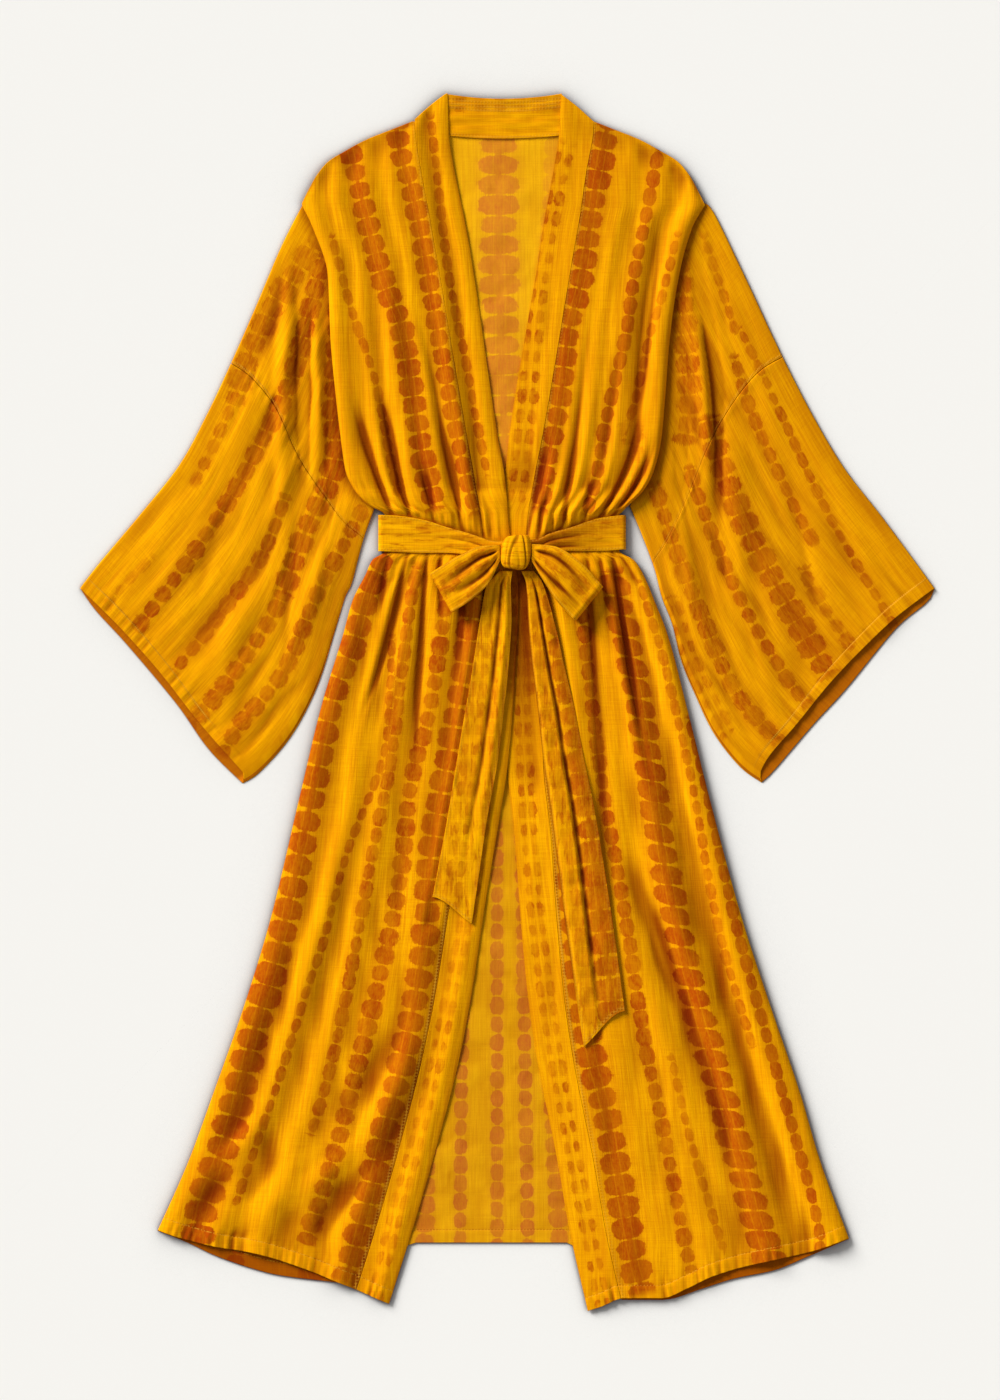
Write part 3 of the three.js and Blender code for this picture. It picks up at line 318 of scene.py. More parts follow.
GATHERS = {
    LEFT: table_of(
        Crease, (-117, 440, -160, 300, -4, 5, 0.95), (-98, 443, -124, 310, -3, 4, 0.95),
        (-72, 449, -88, 370, 0, 5, 0.45), (-43, 457, -76, 320, 4, 5, 0.7), (-20, 464, -38, 340, 0, 4, 0.6),
        (-120, 481, -134, 560, 0, 4, 0.6), (-100, 482, -159, 720, 0, 5, 0.8),
        (-80, 482, -98, 730, 0, 5, 0.7), (-66, 483, -64, 580, 0, 4, 0.5), (-40, 484, -50, 650, 0, 5, 0.6),
        (-18, 488, -24, 620, 0, 4, 0.5),
    ),
    RIGHT: table_of(
        Crease, (24, 467, 56, 330, 0, 4, 0.7), (36, 466, 48, 400, 0, 4, 0.75), (61, 456, 82, 350, 0, 5, 0.5),
        (84, 450, 100, 372, 0, 5, 0.4), (102, 445, 150, 325, 6, 5, 0.95), (115, 443, 163, 345, 8, 4, 0.85),
        (40, 488, 60, 620, 0, 5, 0.6), (66, 482, 92, 640, 0, 5, 0.5), (88, 481, 112, 860, 0, 6, 0.6),
        (101, 481, 118, 600, 0, 4, 0.6), (114, 480, 158, 750, 0, 5, 0.85), (120, 479, 142, 520, 0, 4, 0.4),
    ),
}
FOLDS = {
    LEFT: table_of(
        Crease, (-142, 1025, -300, 1185, -18, 15, 3), (-235, 1050, -345, 1160, -8, 12, 2.5),
        (-80, 780, -150, 1190, 12, 16, 2.2), (-160, 740, -240, 1020, 6, 18, 2),
        (-128, 130, -96, 380, 6, 12, 1.8),
    ),
    RIGHT: table_of(
        Crease, (128, 840, 262, 1205, 12, 16, 3), (190, 760, 300, 1120, 8, 18, 2.2),
        (90, 760, 150, 1180, 8, 15, 2.2), (124, 140, 96, 380, -6, 12, 1.8),
    ),
}
SLEEVE_FOLDS = {
    LEFT: table_of(
        Crease, (-196, 205, -197, 395, -4, 8, 7), (-221, 175, -232, 470, 4, 9, 6),
        (-175, 470, -230, 620, 6, 12, 3.5), (-300, 420, -372, 560, 6, 16, 2.2),
        (-255, 500, -300, 640, 5, 16, 2.6),
    ),
    RIGHT: table_of(
        Crease, (197, 215, 214, 440, -8, 9, 8), (232, 330, 252, 560, -4, 13, 4),
        (172, 470, 222, 630, -6, 12, 3.5), (300, 400, 352, 560, -6, 16, 2.4),
        (268, 470, 296, 630, -5, 15, 2.6),
    ),
}
# Finer folds of the fronts that the solids leave out: thin valleys and the ridges beside them.
FINE_FOLDS = {
    LEFT: table_of(
        Crease, (-100, 482, -152, 660, -6, 4, -1.8), (-92, 490, -140, 700, -6, 6, 1.2),
        (-66, 483, -66, 560, 0, 3, -1.4), (-78, 490, -92, 700, 2, 4, -1.2),
        (-108, 440, -136, 300, 6, 4, -1.4), (-60, 455, -104, 200, 6, 7, 1.2),
        (-52, 455, -92, 220, 5, 4, -1.1), (-30, 462, -70, 220, 4, 5, 0.9),
        (-110, 540, -250, 1100, -8, 15, 1.6), (-134, 600, -300, 1150, -10, 12, -1.5),
        (-60, 600, -110, 1090, 4, 13, 1.3), (-74, 640, -150, 1150, 8, 11, -1.5),
        (-70, 880, -300, 1190, -34, 15, -2.2), (-52, 900, -262, 1200, -34, 14, 2.0),
        (-90, 1020, -240, 1230, -22, 12, -1.6), (-130, 1090, -330, 1200, -12, 13, 1.6),
        (-170, 700, -330, 1160, 4, 15, 1.4), (-188, 700, -345, 1130, 4, 10, -1.2),
    ),
    RIGHT: table_of(
        Crease, (118, 484, 160, 740, 6, 4, -1.8), (110, 490, 150, 700, 6, 6, 1.3),
        (92, 520, 116, 900, 0, 9, -1.6), (104, 760, 262, 1250, -22, 12, -3.4),
        (120, 740, 286, 1220, -22, 14, 3.0), (70, 500, 90, 860, 0, 8, 1.2),
        (140, 640, 240, 1180, 4, 14, 1.5), (172, 640, 290, 1180, 4, 11, -1.6),
        (138, 380, 164, 130, 0, 8, -3.2), (74, 455, 104, 230, 4, 6, 1.2), (60, 458, 88, 240, 4, 4, -1.1),
        (92, 450, 128, 190, 6, 5, -1.0), (205, 760, 325, 1190, 0, 13, 1.4), (48, 700, 110, 1240, 0, 11, 1.2),
    ),
}
FINE_SLEEVE_FOLDS = {
    LEFT: table_of(
        Crease, (-201, 128, -196, 250, 0, 5, -3), (-213, 132, -222, 250, 0, 6, -2.4),
        (-226, 160, -250, 290, 0, 6, -1.6), (-184, 300, -176, 440, 0, 7, -3),
        (-206, 130, -207, 420, 3, 7, -7.5), (-213, 420, -228, 600, 4, 5, -1.6),
        (-182, 590, -278, 700, 4, 5, -1.4), (-240, 250, -290, 440, 4, 10, 1.2),
        (-270, 380, -330, 560, 4, 7, -1.1), (-330, 420, -400, 540, 2, 9, 1.0),
        (-180, 440, -200, 560, 4, 5, 1.6), (-230, 520, -300, 680, 6, 7, 1.2),
    ),
    RIGHT: table_of(
        Crease, (203, 132, 204, 250, 0, 5, -2.6), (216, 140, 236, 260, 0, 6, -2.2),
        (188, 300, 186, 440, 0, 7, -3), (206, 180, 226, 460, -6, 7, -7), (219, 455, 236, 520, 0, 5, -2.4),
        (182, 560, 262, 680, -4, 5, -1.4), (262, 280, 300, 470, -4, 9, 1.2),
        (288, 380, 330, 560, -4, 7, -1.2), (340, 400, 400, 530, -2, 9, 1.0),
        (184, 440, 200, 560, -4, 5, 1.6), (236, 500, 290, 670, -6, 7, 1.3),
    ),
}


def crease_at(crease: Crease, out: Array, down: Array) -> tuple[Array, Array]:
    """Measures places on the garment against a crease.

    Args:
        crease: the fold.
        out: places across.
        down: places down.

    Returns:
        The share of the way along it and the distance from it.
    """
    along_out, along_down = crease.to_out - crease.out, crease.to_down - crease.down
    length = math.hypot(along_out, along_down)
    share = ((out - crease.out) * along_out + (down - crease.down) * along_down) / length ** 2
    inside = np.clip(share, 0, 1)
    aside = ((down - crease.down) * along_out - (out - crease.out) * along_down) / length
    return share, aside - crease.bow * 4 * inside * (1 - inside)


def gather_cut(side: Side, out: Array, down: Array, below: Array) -> Array:
    """Cuts the gathers beside the belt into the cloth's height.

    Args:
        side: which half.
        out: places across.
        down: places down.
        below: whether each place lies below the belt.

    Returns:
        The share of the height that they leave.
    """
    kept = np.ones(np.broadcast(out, down).shape)
    for crease in GATHERS[side]:
        share, aside = crease_at(crease, out, down)
        wide = crease.wide * mix(1, 2.6, np.clip(share, 0, 1))
        narrow = 0.45 * bell(aside, 0.4 * wide)
        cut = 1 - crease.size * (1 - ease(0.35, 1, share)) * np.minimum(1, 0.8 * bell(aside, wide) + narrow)
        kept = np.where(below == (crease.to_down > crease.down), kept * cut, kept)
    return kept


def painted_crease_shade(side: Side, out: Array, down: Array) -> Array:
    """Painted shade along the sharp bottoms of the gathers.

    Args:
        side: which half.
        out: places across.
        down: places down.

    Returns:
        How far each place lies in one, from 0 to 1, as painted shade.
    """
    dark = np.zeros(np.broadcast(out, down).shape)
    for crease in GATHERS[side]:
        share, aside = crease_at(crease, out, down)
        start = ease(-0.12, 0, share) * (1 - ease(0.3, 1.1, share))
        dark = np.maximum(dark, crease.size * start * bell(aside, mix(2.0, 6.0, np.clip(share, 0, 1))))
    return dark


def fold_rise(table: Sequence[Crease], out: Array, down: Array) -> Array:
    """Adds up a table of loose folds.

    Args:
        table: the folds.
        out: places across.
        down: places down.

    Returns:
        The height that they give to the cloth.
    """
    rise = np.zeros(np.broadcast(out, down).shape)
    for crease in table:
        share, aside = crease_at(crease, out, down)
        strength = ease(-0.1, 0.45, share) * (1 - ease(0.5, 1.1, share))
        rise = rise + crease.size * strength * bell(aside, crease.wide)
    return rise


def ripple(out: Array, down: Array, seed: int, length: float, count: int = 18) -> Array:
    """Soft irregular unevenness between about -1 and 1.

    Args:
        out: places across.
        down: places down.
        seed: which pattern.
        length: rough distance between two highs.
        count: how many waves it is made of.

    Returns:
        The unevenness at each place.
    """
    chance = np.random.default_rng(seed)
    total = np.zeros(np.broadcast(out, down).shape)
    for _ in range(count):
        turn = chance.uniform(0, 2 * math.pi)
        wave = 2 * math.pi / (length * chance.uniform(0.6, 1.7))
        phase = chance.uniform(0, 2 * math.pi)
        total = total + np.sin(wave * (out * math.cos(turn) + down * math.sin(turn)) + phase)
    return total / math.sqrt(count) * 1.2


def waves_across(share: Array, seed: int, low: float, high: float, count: int = 7) -> Array:
    """Irregular waves across a panel, which narrow where the panel does.

    Args:
        share: places as shares across the panel.
        seed: which pattern.
        low: fewest waves across.
        high: most waves across.
        count: how many waves it is made of.

    Returns:
        The waves' height at each place, mostly between -1 and 1.
    """
    chance = np.random.default_rng(seed)
    total = np.zeros(np.shape(share))
    for _ in range(count):
        total = total + np.sin(2 * math.pi * chance.uniform(low, high) * share + chance.uniform(0, 6.3))
    return total / math.sqrt(count)


def columns_of(table: Sequence[NamedTuple], along: str, value: str) -> Profile:
    """The smooth curve through two named columns of a table."""
    return Profile([getattr(row, along) for row in table], [getattr(row, value) for row in table])


def sides_of(table: Sequence[SidePlace]) -> tuple[Profile, Profile]:
    """The left and right edges of a table, by the place down."""
    return columns_of(table, "down", "left"), columns_of(table, "down", "right")


belt_top = columns_of(BELT_EDGES, "out", "top")
belt_bottom = columns_of(BELT_EDGES, "out", "bottom")
blouse_rise = Profile(*zip(*BLOUSED))
flare_rise = Profile(*zip(*FLARED))
shoulder_profile = columns_of(SHOULDER_LINE, "out", "down")
collar_profile = columns_of(COLLAR_PEAKS, "out", "down")


def shoulder(out: Array) -> Array:
    """The shoulder fold's place down the garment."""
    return shoulder_profile(np.abs(out))


def collar_top(out: Array) -> Array:
    """The upper end of the front bands."""
    return collar_profile(np.abs(out))


def neck_curve(out: Array) -> Array:
    """The lower edge of the band behind the neck."""
    return 46 - 3 * (out / 58) ** 2


def waist_share(down: Array, sooner: float = 0) -> Array:
    """How far the belt's passage under the back lifts the cloth."""
    rising = ease(WAIST_TOP - 17 - sooner, WAIST_TOP - 2 - sooner, down)
    return rising - ease(WAIST_BOTTOM + 2 + sooner, WAIST_BOTTOM + 17 + sooner, down)


def upright(field: Field, out: Array, down: Array) -> Array:
    """How much thicker the cloth measures upright where it is steep.

    Args:
        field: its height for a place.
        out: places across.
        down: places down.

    Returns:
        The factor at each place.
    """
    step = 1.5
    slope_out = (field(out + step, down) - field(out - step, down)) / (2 * step)
    slope_down = (field(out, down + step) - field(out, down - step)) / (2 * step)
    return np.minimum(STEEPEST, np.sqrt(1 + slope_out ** 2 + slope_down ** 2))


def blurred(values: Array, rounds: int) -> Array:
    """Smooths a grid of values over its neighbours.

    Args:
        values: the grid.
        rounds: how often.

    Returns:
        The smoothed grid.
    """
    for _ in range(rounds):
        rows = np.pad(values, ((1, 1), (0, 0)), mode="edge")
        values = (rows[:-2] + 2 * rows[1:-1] + rows[2:]) / 4
        columns = np.pad(values, ((0, 0), (1, 1)), mode="edge")
        values = (columns[:, :-2] + 2 * columns[:, 1:-1] + columns[:, 2:]) / 4
    return values


CHART_UNIT = 1.05
CHART_MIDDLE = 503
CHART_TOP = 94


@dataclass(frozen=True)
class DotRow:
    """One tied row of the print, charted on squares of CHART_UNIT from the garment's top."""

    kind: DotKind
    half: float
    pitch: float
    tone: float
    through: tuple[Chart, ...]
    fill: float = 0.9
    slant: float = 0.0
    narrowed: float = 1.0
    worn: float = 0.25

    def measured(self, out: Array, down: Array) -> tuple[Array, Array, Array, Array]:
        """Measures places on the garment against the row.

        Args:
            out: places across.
            down: places down.

        Returns:
            The distance from its middle by its half width, the place along it, the distance past
            its ends and the side as -1 or 1.
        """
        points = Spline(self.through, 4).points
        middle = (points[:, 0] - CHART_MIDDLE) * CHART_UNIT
        level = (points[:, 1] - CHART_TOP) * CHART_UNIT
        close, along, beyond, side = (np.full(out.shape, value) for value in (1e9, 0.0, 0.0, 0.0))
        start = 0.0
        last = len(middle) - 2
        for i in range(last + 1):
            run_out, run_down = middle[i + 1] - middle[i], level[i + 1] - level[i]
            length = math.hypot(run_out, run_down)
            raw = ((out - middle[i]) * run_out + (down - level[i]) * run_down) / length ** 2
            share = np.clip(raw, -9 if i == 0 else 0, 9 if i == last else 1)
            gap = np.hypot(out - middle[i] - share * run_out, down - level[i] - share * run_down)
            nearer = gap < close
            close = np.where(nearer, gap, close)
            along = np.where(nearer, start + share * length, along)
            past = np.maximum(-raw, raw - 1) * length if i in (0, last) else 0.0
            beyond = np.where(nearer, np.maximum(past, 0), beyond)
            turned = (out - middle[i]) * run_down - (down - level[i]) * run_out
            side = np.where(nearer, np.sign(turned), side)
            start += length
        taper = mix(1.0, self.narrowed, np.clip(along / start, 0, 1))
        return close / (self.half * CHART_UNIT * taper), along, beyond, side


def double_row(*through: Chart, tone: float = 1.0, half: float = 16, narrowed: float = 1.0,
               worn: float = 0.25, pitch: float = 20) -> DotRow:
    """A bold row of paired squares."""
    return DotRow(DotKind.DOUBLE, half, pitch, tone, through, 0.92, 0, narrowed, worn)


def single_row(*through: Chart, tone: float = 0.95, half: float = 6.5, narrowed: float = 1.0,
               worn: float = 0.3) -> DotRow:
    """A row of single rounded dots."""
    return DotRow(DotKind.SINGLE, half, 18.5, tone, through, 0.96, 0, narrowed, worn)


def small_row(*through: Chart, tone: float = 0.75, worn: float = 0.5) -> DotRow:
    """A row of small dots."""
    return DotRow(DotKind.SINGLE, 4.4, 17, tone, through, 0.9, 0, 1.0, worn)


def dash_row(*through: Chart, tone: float = 0.45, half: float = 9) -> DotRow:
    """A faint row of short dashes, two across."""
    return DotRow(DotKind.DASH, half, 20, tone, through, 0.66, 0, 1.0, 1.0)


def rope_row(*through: Chart) -> DotRow:
    """A bold row of slanted pairs."""
    return DotRow(DotKind.DOUBLE, 14, 21, 1.0, through, 0.92, 0.24, 1.15, 0.25)


FRONT_ROWS = {
    LEFT: (
        double_row((345, 128), (367, 220), (382, 277), (402, 330), (412, 390), (422, 452), (434, 505),
            half=10.5, narrowed=1.2, pitch=18.5),
        double_row((396, 112), (400, 152), (415, 203), (432, 299), (451, 407), (466, 480), (474, 510),
            half=12, narrowed=0.6, tone=0.95, pitch=18.5),
        small_row((333, 240), (352, 311), (375, 379), (389, 452), (397, 490)),
        double_row((386, 552), (370, 588), (355, 640), (341, 673), (328, 715), (305, 831), (281, 938),
            (256, 1025), (232, 1122), (203, 1205), (198, 1240), half=12, narrowed=1.5, pitch=22.5),
        small_row((392, 640), (385, 750), (348, 850), (324, 940), (305, 996), (281, 1074), (237, 1200),
            tone=0.85),
        single_row((416, 570), (407, 628), (392, 754), (373, 851), (351, 972), (330, 1070), (312, 1130),
            half=6, worn=0.6),
        single_row((446, 600), (431, 705), (411, 783), (397, 899), (363, 1045), (334, 1156), (307, 1239),
            half=8, narrowed=1.3, worn=0.5),
        double_row((474, 575), (465, 660), (450, 744), (431, 851), (426, 928), (411, 1020), (392, 1103),
            (358, 1239), (346, 1277), tone=0.95, half=12, narrowed=1.25, pitch=22),
    ),
    RIGHT: (
        double_row((612, 112), (604, 144), (593, 203), (582, 277), (568, 333), (559, 407), (548, 458),
            (540, 505), half=14, narrowed=0.7),
        single_row((666, 135), (658, 155), (644, 226), (633, 282), (627, 328), (613, 390), (604, 430),
            (596, 480), (588, 508)),
        small_row((676, 240), (661, 300), (650, 333), (640, 380), (625, 440)),
        double_row((628, 425), (640, 470), (626, 505), half=11, tone=0.35, worn=1.0),
        double_row((566, 760), (575, 930), (590, 1050), (607, 1117), (631, 1248), (641, 1287), half=15,
            pitch=22),
        single_row((578, 570), (592, 705), (604, 793), (614, 851), (624, 909), (645, 1045), (660, 1113),
            (682, 1229), (690, 1266), half=7, worn=0.5),
        rope_row((612, 575), (636, 686), (650, 768), (660, 841), (687, 972), (718, 1083), (752, 1205),
            (770, 1262)),
        small_row((672, 1060), (687, 1127), (708, 1200), (723, 1248), tone=0.6),
        small_row((640, 585), (660, 647), (679, 725), (694, 793), (718, 928), (752, 1045)),
        single_row((690, 720), (708, 793), (723, 870), (742, 948), (781, 1088), (815, 1210), (820, 1250),
            half=5.5),
    ),
}
BAND_ROWS = {
    LEFT: (
        small_row((431, 120), (443, 231), (451, 288), (466, 362), (474, 407), (486, 469), tone=0.85,
            worn=0.5),
        double_row((504, 560), (509, 620), (514, 690), half=12, tone=0.8, worn=1.0),
        dash_row((497, 560), (490, 700), (478, 850), (457, 962), (426, 1103), (392, 1229), (375, 1300),
            tone=0.6, half=8),
    ),
    RIGHT: (
        dash_row((566, 150), (556, 186), (536, 305), (528, 398), (516, 500), tone=0.85, half=10),
        double_row((521, 560), (526, 620), (530, 690), half=10, tone=0.8, worn=1.0),
        dash_row((520, 600), (522, 705), (529, 831), (540, 948), (560, 1083), (590, 1239), (602, 1300),
            tone=0.8, half=8.5),
    ),
}
BACK_ROWS = (
    double_row((498, 135), (500, 300), (506, 480), tone=0.85, half=19),
    single_row((553, 138), (552, 200), (540, 320), tone=0.4, half=9),
    single_row((428, 1140), (424, 1250), tone=0.9, half=9),
    single_row((475, 860), (463, 1020), (460, 1250), tone=0.9, half=6.5),
    single_row((497, 830), (497, 1250), tone=0.95, half=6.5),
    single_row((521, 830), (528, 1250), tone=0.95, half=7),
    single_row((551, 1080), (560, 1250), tone=0.8, half=9),
    single_row((372, 1240), (340, 1262), (306, 1275), tone=0.9, half=9),
    single_row((250, 1200), (236, 1260), tone=0.9, half=9),
    single_row((660, 1240), (668, 1290), tone=0.9, half=9),
)
SLEEVE_ROWS = {
    LEFT: (
        double_row((312, 250), (274, 306), (250, 354), (235, 400), tone=0.9, half=12, worn=0.8),
        single_row((232, 405), (218, 437), (196, 480), tone=0.7, worn=0.8),
        single_row((290, 380), (262, 440), (234, 492), (187, 563), (140, 625), tone=0.95, half=8, worn=0.6),
        double_row((322, 260), (304, 334), (285, 400), (262, 440), tone=0.95, half=9, worn=0.7),
        single_row((285, 500), (262, 556), (226, 607), (179, 666), tone=0.9, half=7, worn=0.6),
        double_row((340, 300), (335, 400), (333, 470), (305, 532), (285, 590), tone=1.0, half=12, worn=0.5),
        single_row((280, 600), (266, 627), (218, 694), (190, 724), tone=0.9, half=9, worn=0.6),
        single_row((365, 505), (353, 528), (317, 595), (285, 670), (242, 722), (225, 750), tone=0.9, half=8,
            worn=0.6),
        small_row((150, 560), (120, 590), (105, 610), tone=0.5, worn=1.0),
    ),
    RIGHT: (
        double_row((655, 488), (679, 560), (706, 627), (734, 690), (775, 738), tone=0.85, half=8, worn=0.7),
        single_row((690, 470), (698, 496), (734, 587), (781, 670), (805, 702), tone=0.9, half=7, worn=0.5),
        double_row((708, 420), (718, 457), (750, 536), (789, 607), (826, 672), tone=0.95, half=13, worn=0.5),
        single_row((735, 360), (750, 409), (789, 496), (812, 540), tone=0.85, half=6, worn=0.6),
        small_row((740, 330), (766, 382), (829, 516), (892, 622), tone=0.85, worn=0.6),
        single_row((805, 570), (813, 591), (850, 645), tone=0.7, half=7, worn=0.8),
        dash_row((672, 600), (690, 658), (726, 730), tone=0.7),
        double_row((680, 255), (684, 318), (690, 400), (685, 440), tone=0.9, half=12, worn=0.8),
        small_row((705, 240), (725, 300), (735, 330), tone=0.7, worn=0.8),
    ),
}
TAIL_ROWS = {
    LEFT: (
        dash_row((484, 620), (472, 740), (452, 900), tone=0.6),
        small_row((500, 600), (491, 740), (478, 900), tone=0.4, worn=1.0),
    ),
    RIGHT: (
        double_row((556, 590), (572, 700), (586, 800), (600, 900), (614, 1020), tone=1.0, half=15, pitch=23,
            worn=0.5),
        double_row((533, 590), (545, 690), (558, 780), (572, 860), (590, 1020), tone=0.6, half=7, worn=1.0),
    ),
}
BELT_ROWS = (
    small_row((400, 522), (440, 532), (476, 541), tone=0.3, worn=1.0),
    single_row((545, 545), (585, 532), (628, 522), tone=0.4, half=7, worn=1.0),
)


@dataclass
class Print:
    """The tied rows on one piece, with the first number of their own unevenness."""

    rows: Sequence[DotRow]
    seed: int = 0

    def values(self, out: Array, down: Array, hollow: Array, seam: Array) -> dict[str, Array]:
        """What the finishes read at each place: the given painted shade and stitching and the nearest row.

        Args:
            out: places across.
            down: places down.
            hollow: how much painted shade each place gets, from 0 to 1.
            seam: the strength of a stitch line there.

        Returns:
            Those two, and of the row: distance from its middle by its half width, place along it
            in dots, kind, strength, how full the dots are and how worn.
        """
        nearest = np.full(out.shape, 9.0)
        closest = np.full(out.shape, 9.0)
        names = ("row_along", "row_kind", "row_tone", "row_fill", "row_worn")
        found = {name: np.zeros(out.shape) for name in names}
        for index, row in enumerate(self.rows):
            off, along, beyond, side = row.measured(out, down)
            rank = off + 0.6 * np.maximum(beyond - 3, 0)
            better = rank < closest
            closest = np.where(better, rank, closest)
            nearest = np.where(better, off, nearest)
            dots = along / (row.pitch * CHART_UNIT) - row.slant * off * side
            dots = dots + 40.0 * (index + self.seed) + 200
            tone = row.tone * (1 - ease(2, 12, beyond))
            for name, value in zip(names, (dots, row.kind.value, tone, row.fill, row.worn)):
                found[name] = np.where(better, value, found[name])
        return {"hollow": hollow, "seam": seam, "row_off": nearest, **found}


class Nodes:
    """A short way to fill a node tree."""

    def __init__(self, tree: bpy.types.NodeTree) -> None:
        """Keeps the tree that gets the nodes."""
        self.tree = tree

    def add(self, kind: str, inputs: dict | None = None, **settings: object) -> bpy.types.Node:
        """Adds a node.

        Args:
            kind: its type.
            inputs: socket values or links, by socket name or number.
            settings: its properties.

        Returns:
            The node.
        """
        node = self.tree.nodes.new(kind)
        for name, value in settings.items():
            setattr(node, name, value)
        self.feed(node, inputs or {})
        return node

    def feed(self, node: bpy.types.Node, inputs: dict) -> None:
        """Links or sets a node's inputs.

        Args:
            node: the node.
            inputs: socket values or links, by socket name or number.
        """
        for name, value in inputs.items():
            socket = node.inputs[name]
            if isinstance(value, Socket):
                self.tree.links.new(value, socket)
            else:
                socket.default_value = value

    def math(self, operation: str, *values: Input, clamp: bool = False) -> Socket:
        """Adds a Math node and gives its output."""
        node = self.add("ShaderNodeMath", dict(enumerate(values)), operation=operation, use_clamp=clamp)
        return node.outputs[0]

    def plus(self, first: Input, second: Input) -> Socket:
        """Adds two values."""
        return self.math("ADD", first, second)

    def minus(self, first: Input, second: Input) -> Socket:
        """Takes the second value from the first."""
        return self.math("SUBTRACT", first, second)

    def times(self, *factors: Input) -> Socket:
        """Multiplies several values.

        Args:
            factors: the values.

        Returns:
            Their product.
        """
        product = factors[0]
        for factor in factors[1:]:
            product = self.math("MULTIPLY", product, factor)
        return product

    def attribute(self, name: str) -> Socket:
        """Reads one value that is kept on the mesh."""
        return self.add("ShaderNodeAttribute", attribute_name=name).outputs["Fac"]

    def noise(self, vector: Socket, scale: float, detail: float = 2.0, rough: float = 0.5) -> Socket:
        """Adds a noise texture and gives its value."""
        inputs = {"Vector": vector, "Scale": scale, "Detail": detail, "Roughness": rough}
        return self.add("ShaderNodeTexNoise", inputs).outputs[0]

    def threads(self, vector: Socket, across: float, along: float, detail: float = 3.0,
                rough: float = 0.6) -> Socket:
        """Adds noise that is stretched across or along the cloth."""
        place = self.add("ShaderNodeMapping", {"Vector": vector, "Scale": (across, along, 1.0)}).outputs[0]
        return self.noise(place, 1.0, detail, rough)

    def span(self, value: Socket, low: float, high: float, start: float, end: float) -> Socket:
        """Maps a value smoothly from one range to another."""
        inputs = {0: value, 1: low, 2: high, 3: start, 4: end}
        return self.add("ShaderNodeMapRange", inputs, interpolation_type="SMOOTHSTEP").outputs[0]

    def blend(self, factor: Input, first: Socket | Colour, second: Colour, mode: str = "MIX") -> Socket:
        """Mixes two colours."""
        node = self.add("ShaderNodeMix", {0: factor, 6: first, 7: second}, data_type="RGBA", blend_type=mode)
        return node.outputs[2]


def new_group(name: str, inputs: Sequence[tuple[str, str]], outputs: Sequence[str]) -> tuple:
    """Makes an empty shader node group.

    Args:
        name: the group's name.
        inputs: socket names and types.
        outputs: names of the values that it puts out.

    Returns:
        The group, a filler for it, its input node and its output node.
    """
    group = bpy.data.node_groups.new(name, "ShaderNodeTree")
    for label, kind in inputs:
        group.interface.new_socket(label, in_out="INPUT", socket_type=kind)
    for label in outputs:
        group.interface.new_socket(label, in_out="OUTPUT", socket_type="NodeSocketFloat")
    nodes = Nodes(group)
    return group, nodes, nodes.add("NodeGroupInput"), nodes.add("NodeGroupOutput")


def slub_weave_group() -> bpy.types.NodeTree:
    """The light, slightly uneven weave: thicker threads along and across, and their relief.

    Returns:
        The group.
    """
    group, nodes, given, put = new_group(
        "slub_weave", [("Place", "NodeSocketVector")], ["Streak", "Cloud", "Height", "Stitch"]
    )
    place = given.outputs["Place"]
    warp = nodes.threads(place, 900, 26)
    weft = nodes.threads(place, 34, 800, 2.0)
    broad = nodes.threads(place, 300, 12)
    cloud = nodes.threads(place, 16, 10, 3.0, 0.55)
    both = nodes.plus(nodes.times(warp, 0.42), nodes.times(weft, 0.2))
    streak = nodes.plus(both, nodes.times(broad, 0.38))
    threads = nodes.plus(nodes.times(warp, 0.6), nodes.times(weft, 0.4))
    axes = nodes.add("ShaderNodeSeparateXYZ", {"Vector": place}).outputs
    turns = 2 * math.pi / STITCH
    waves = [nodes.math("SINE", nodes.times(axes[i], turns)) for i in (0, 1)]
    nodes.feed(put, {
        "Streak": nodes.span(streak, 0.38, 0.62, 0.0, 1.0),
        "Cloud": nodes.span(cloud, 0.3, 0.7, 0.0, 1.0),
        "Height": threads,
        "Stitch": nodes.span(nodes.plus(*waves), -0.5, 0.1, 0.0, 1.0),
    })
    return group


DOT_VALUES = ("Off", "Along", "Kind", "Tone", "Fill", "Worn")


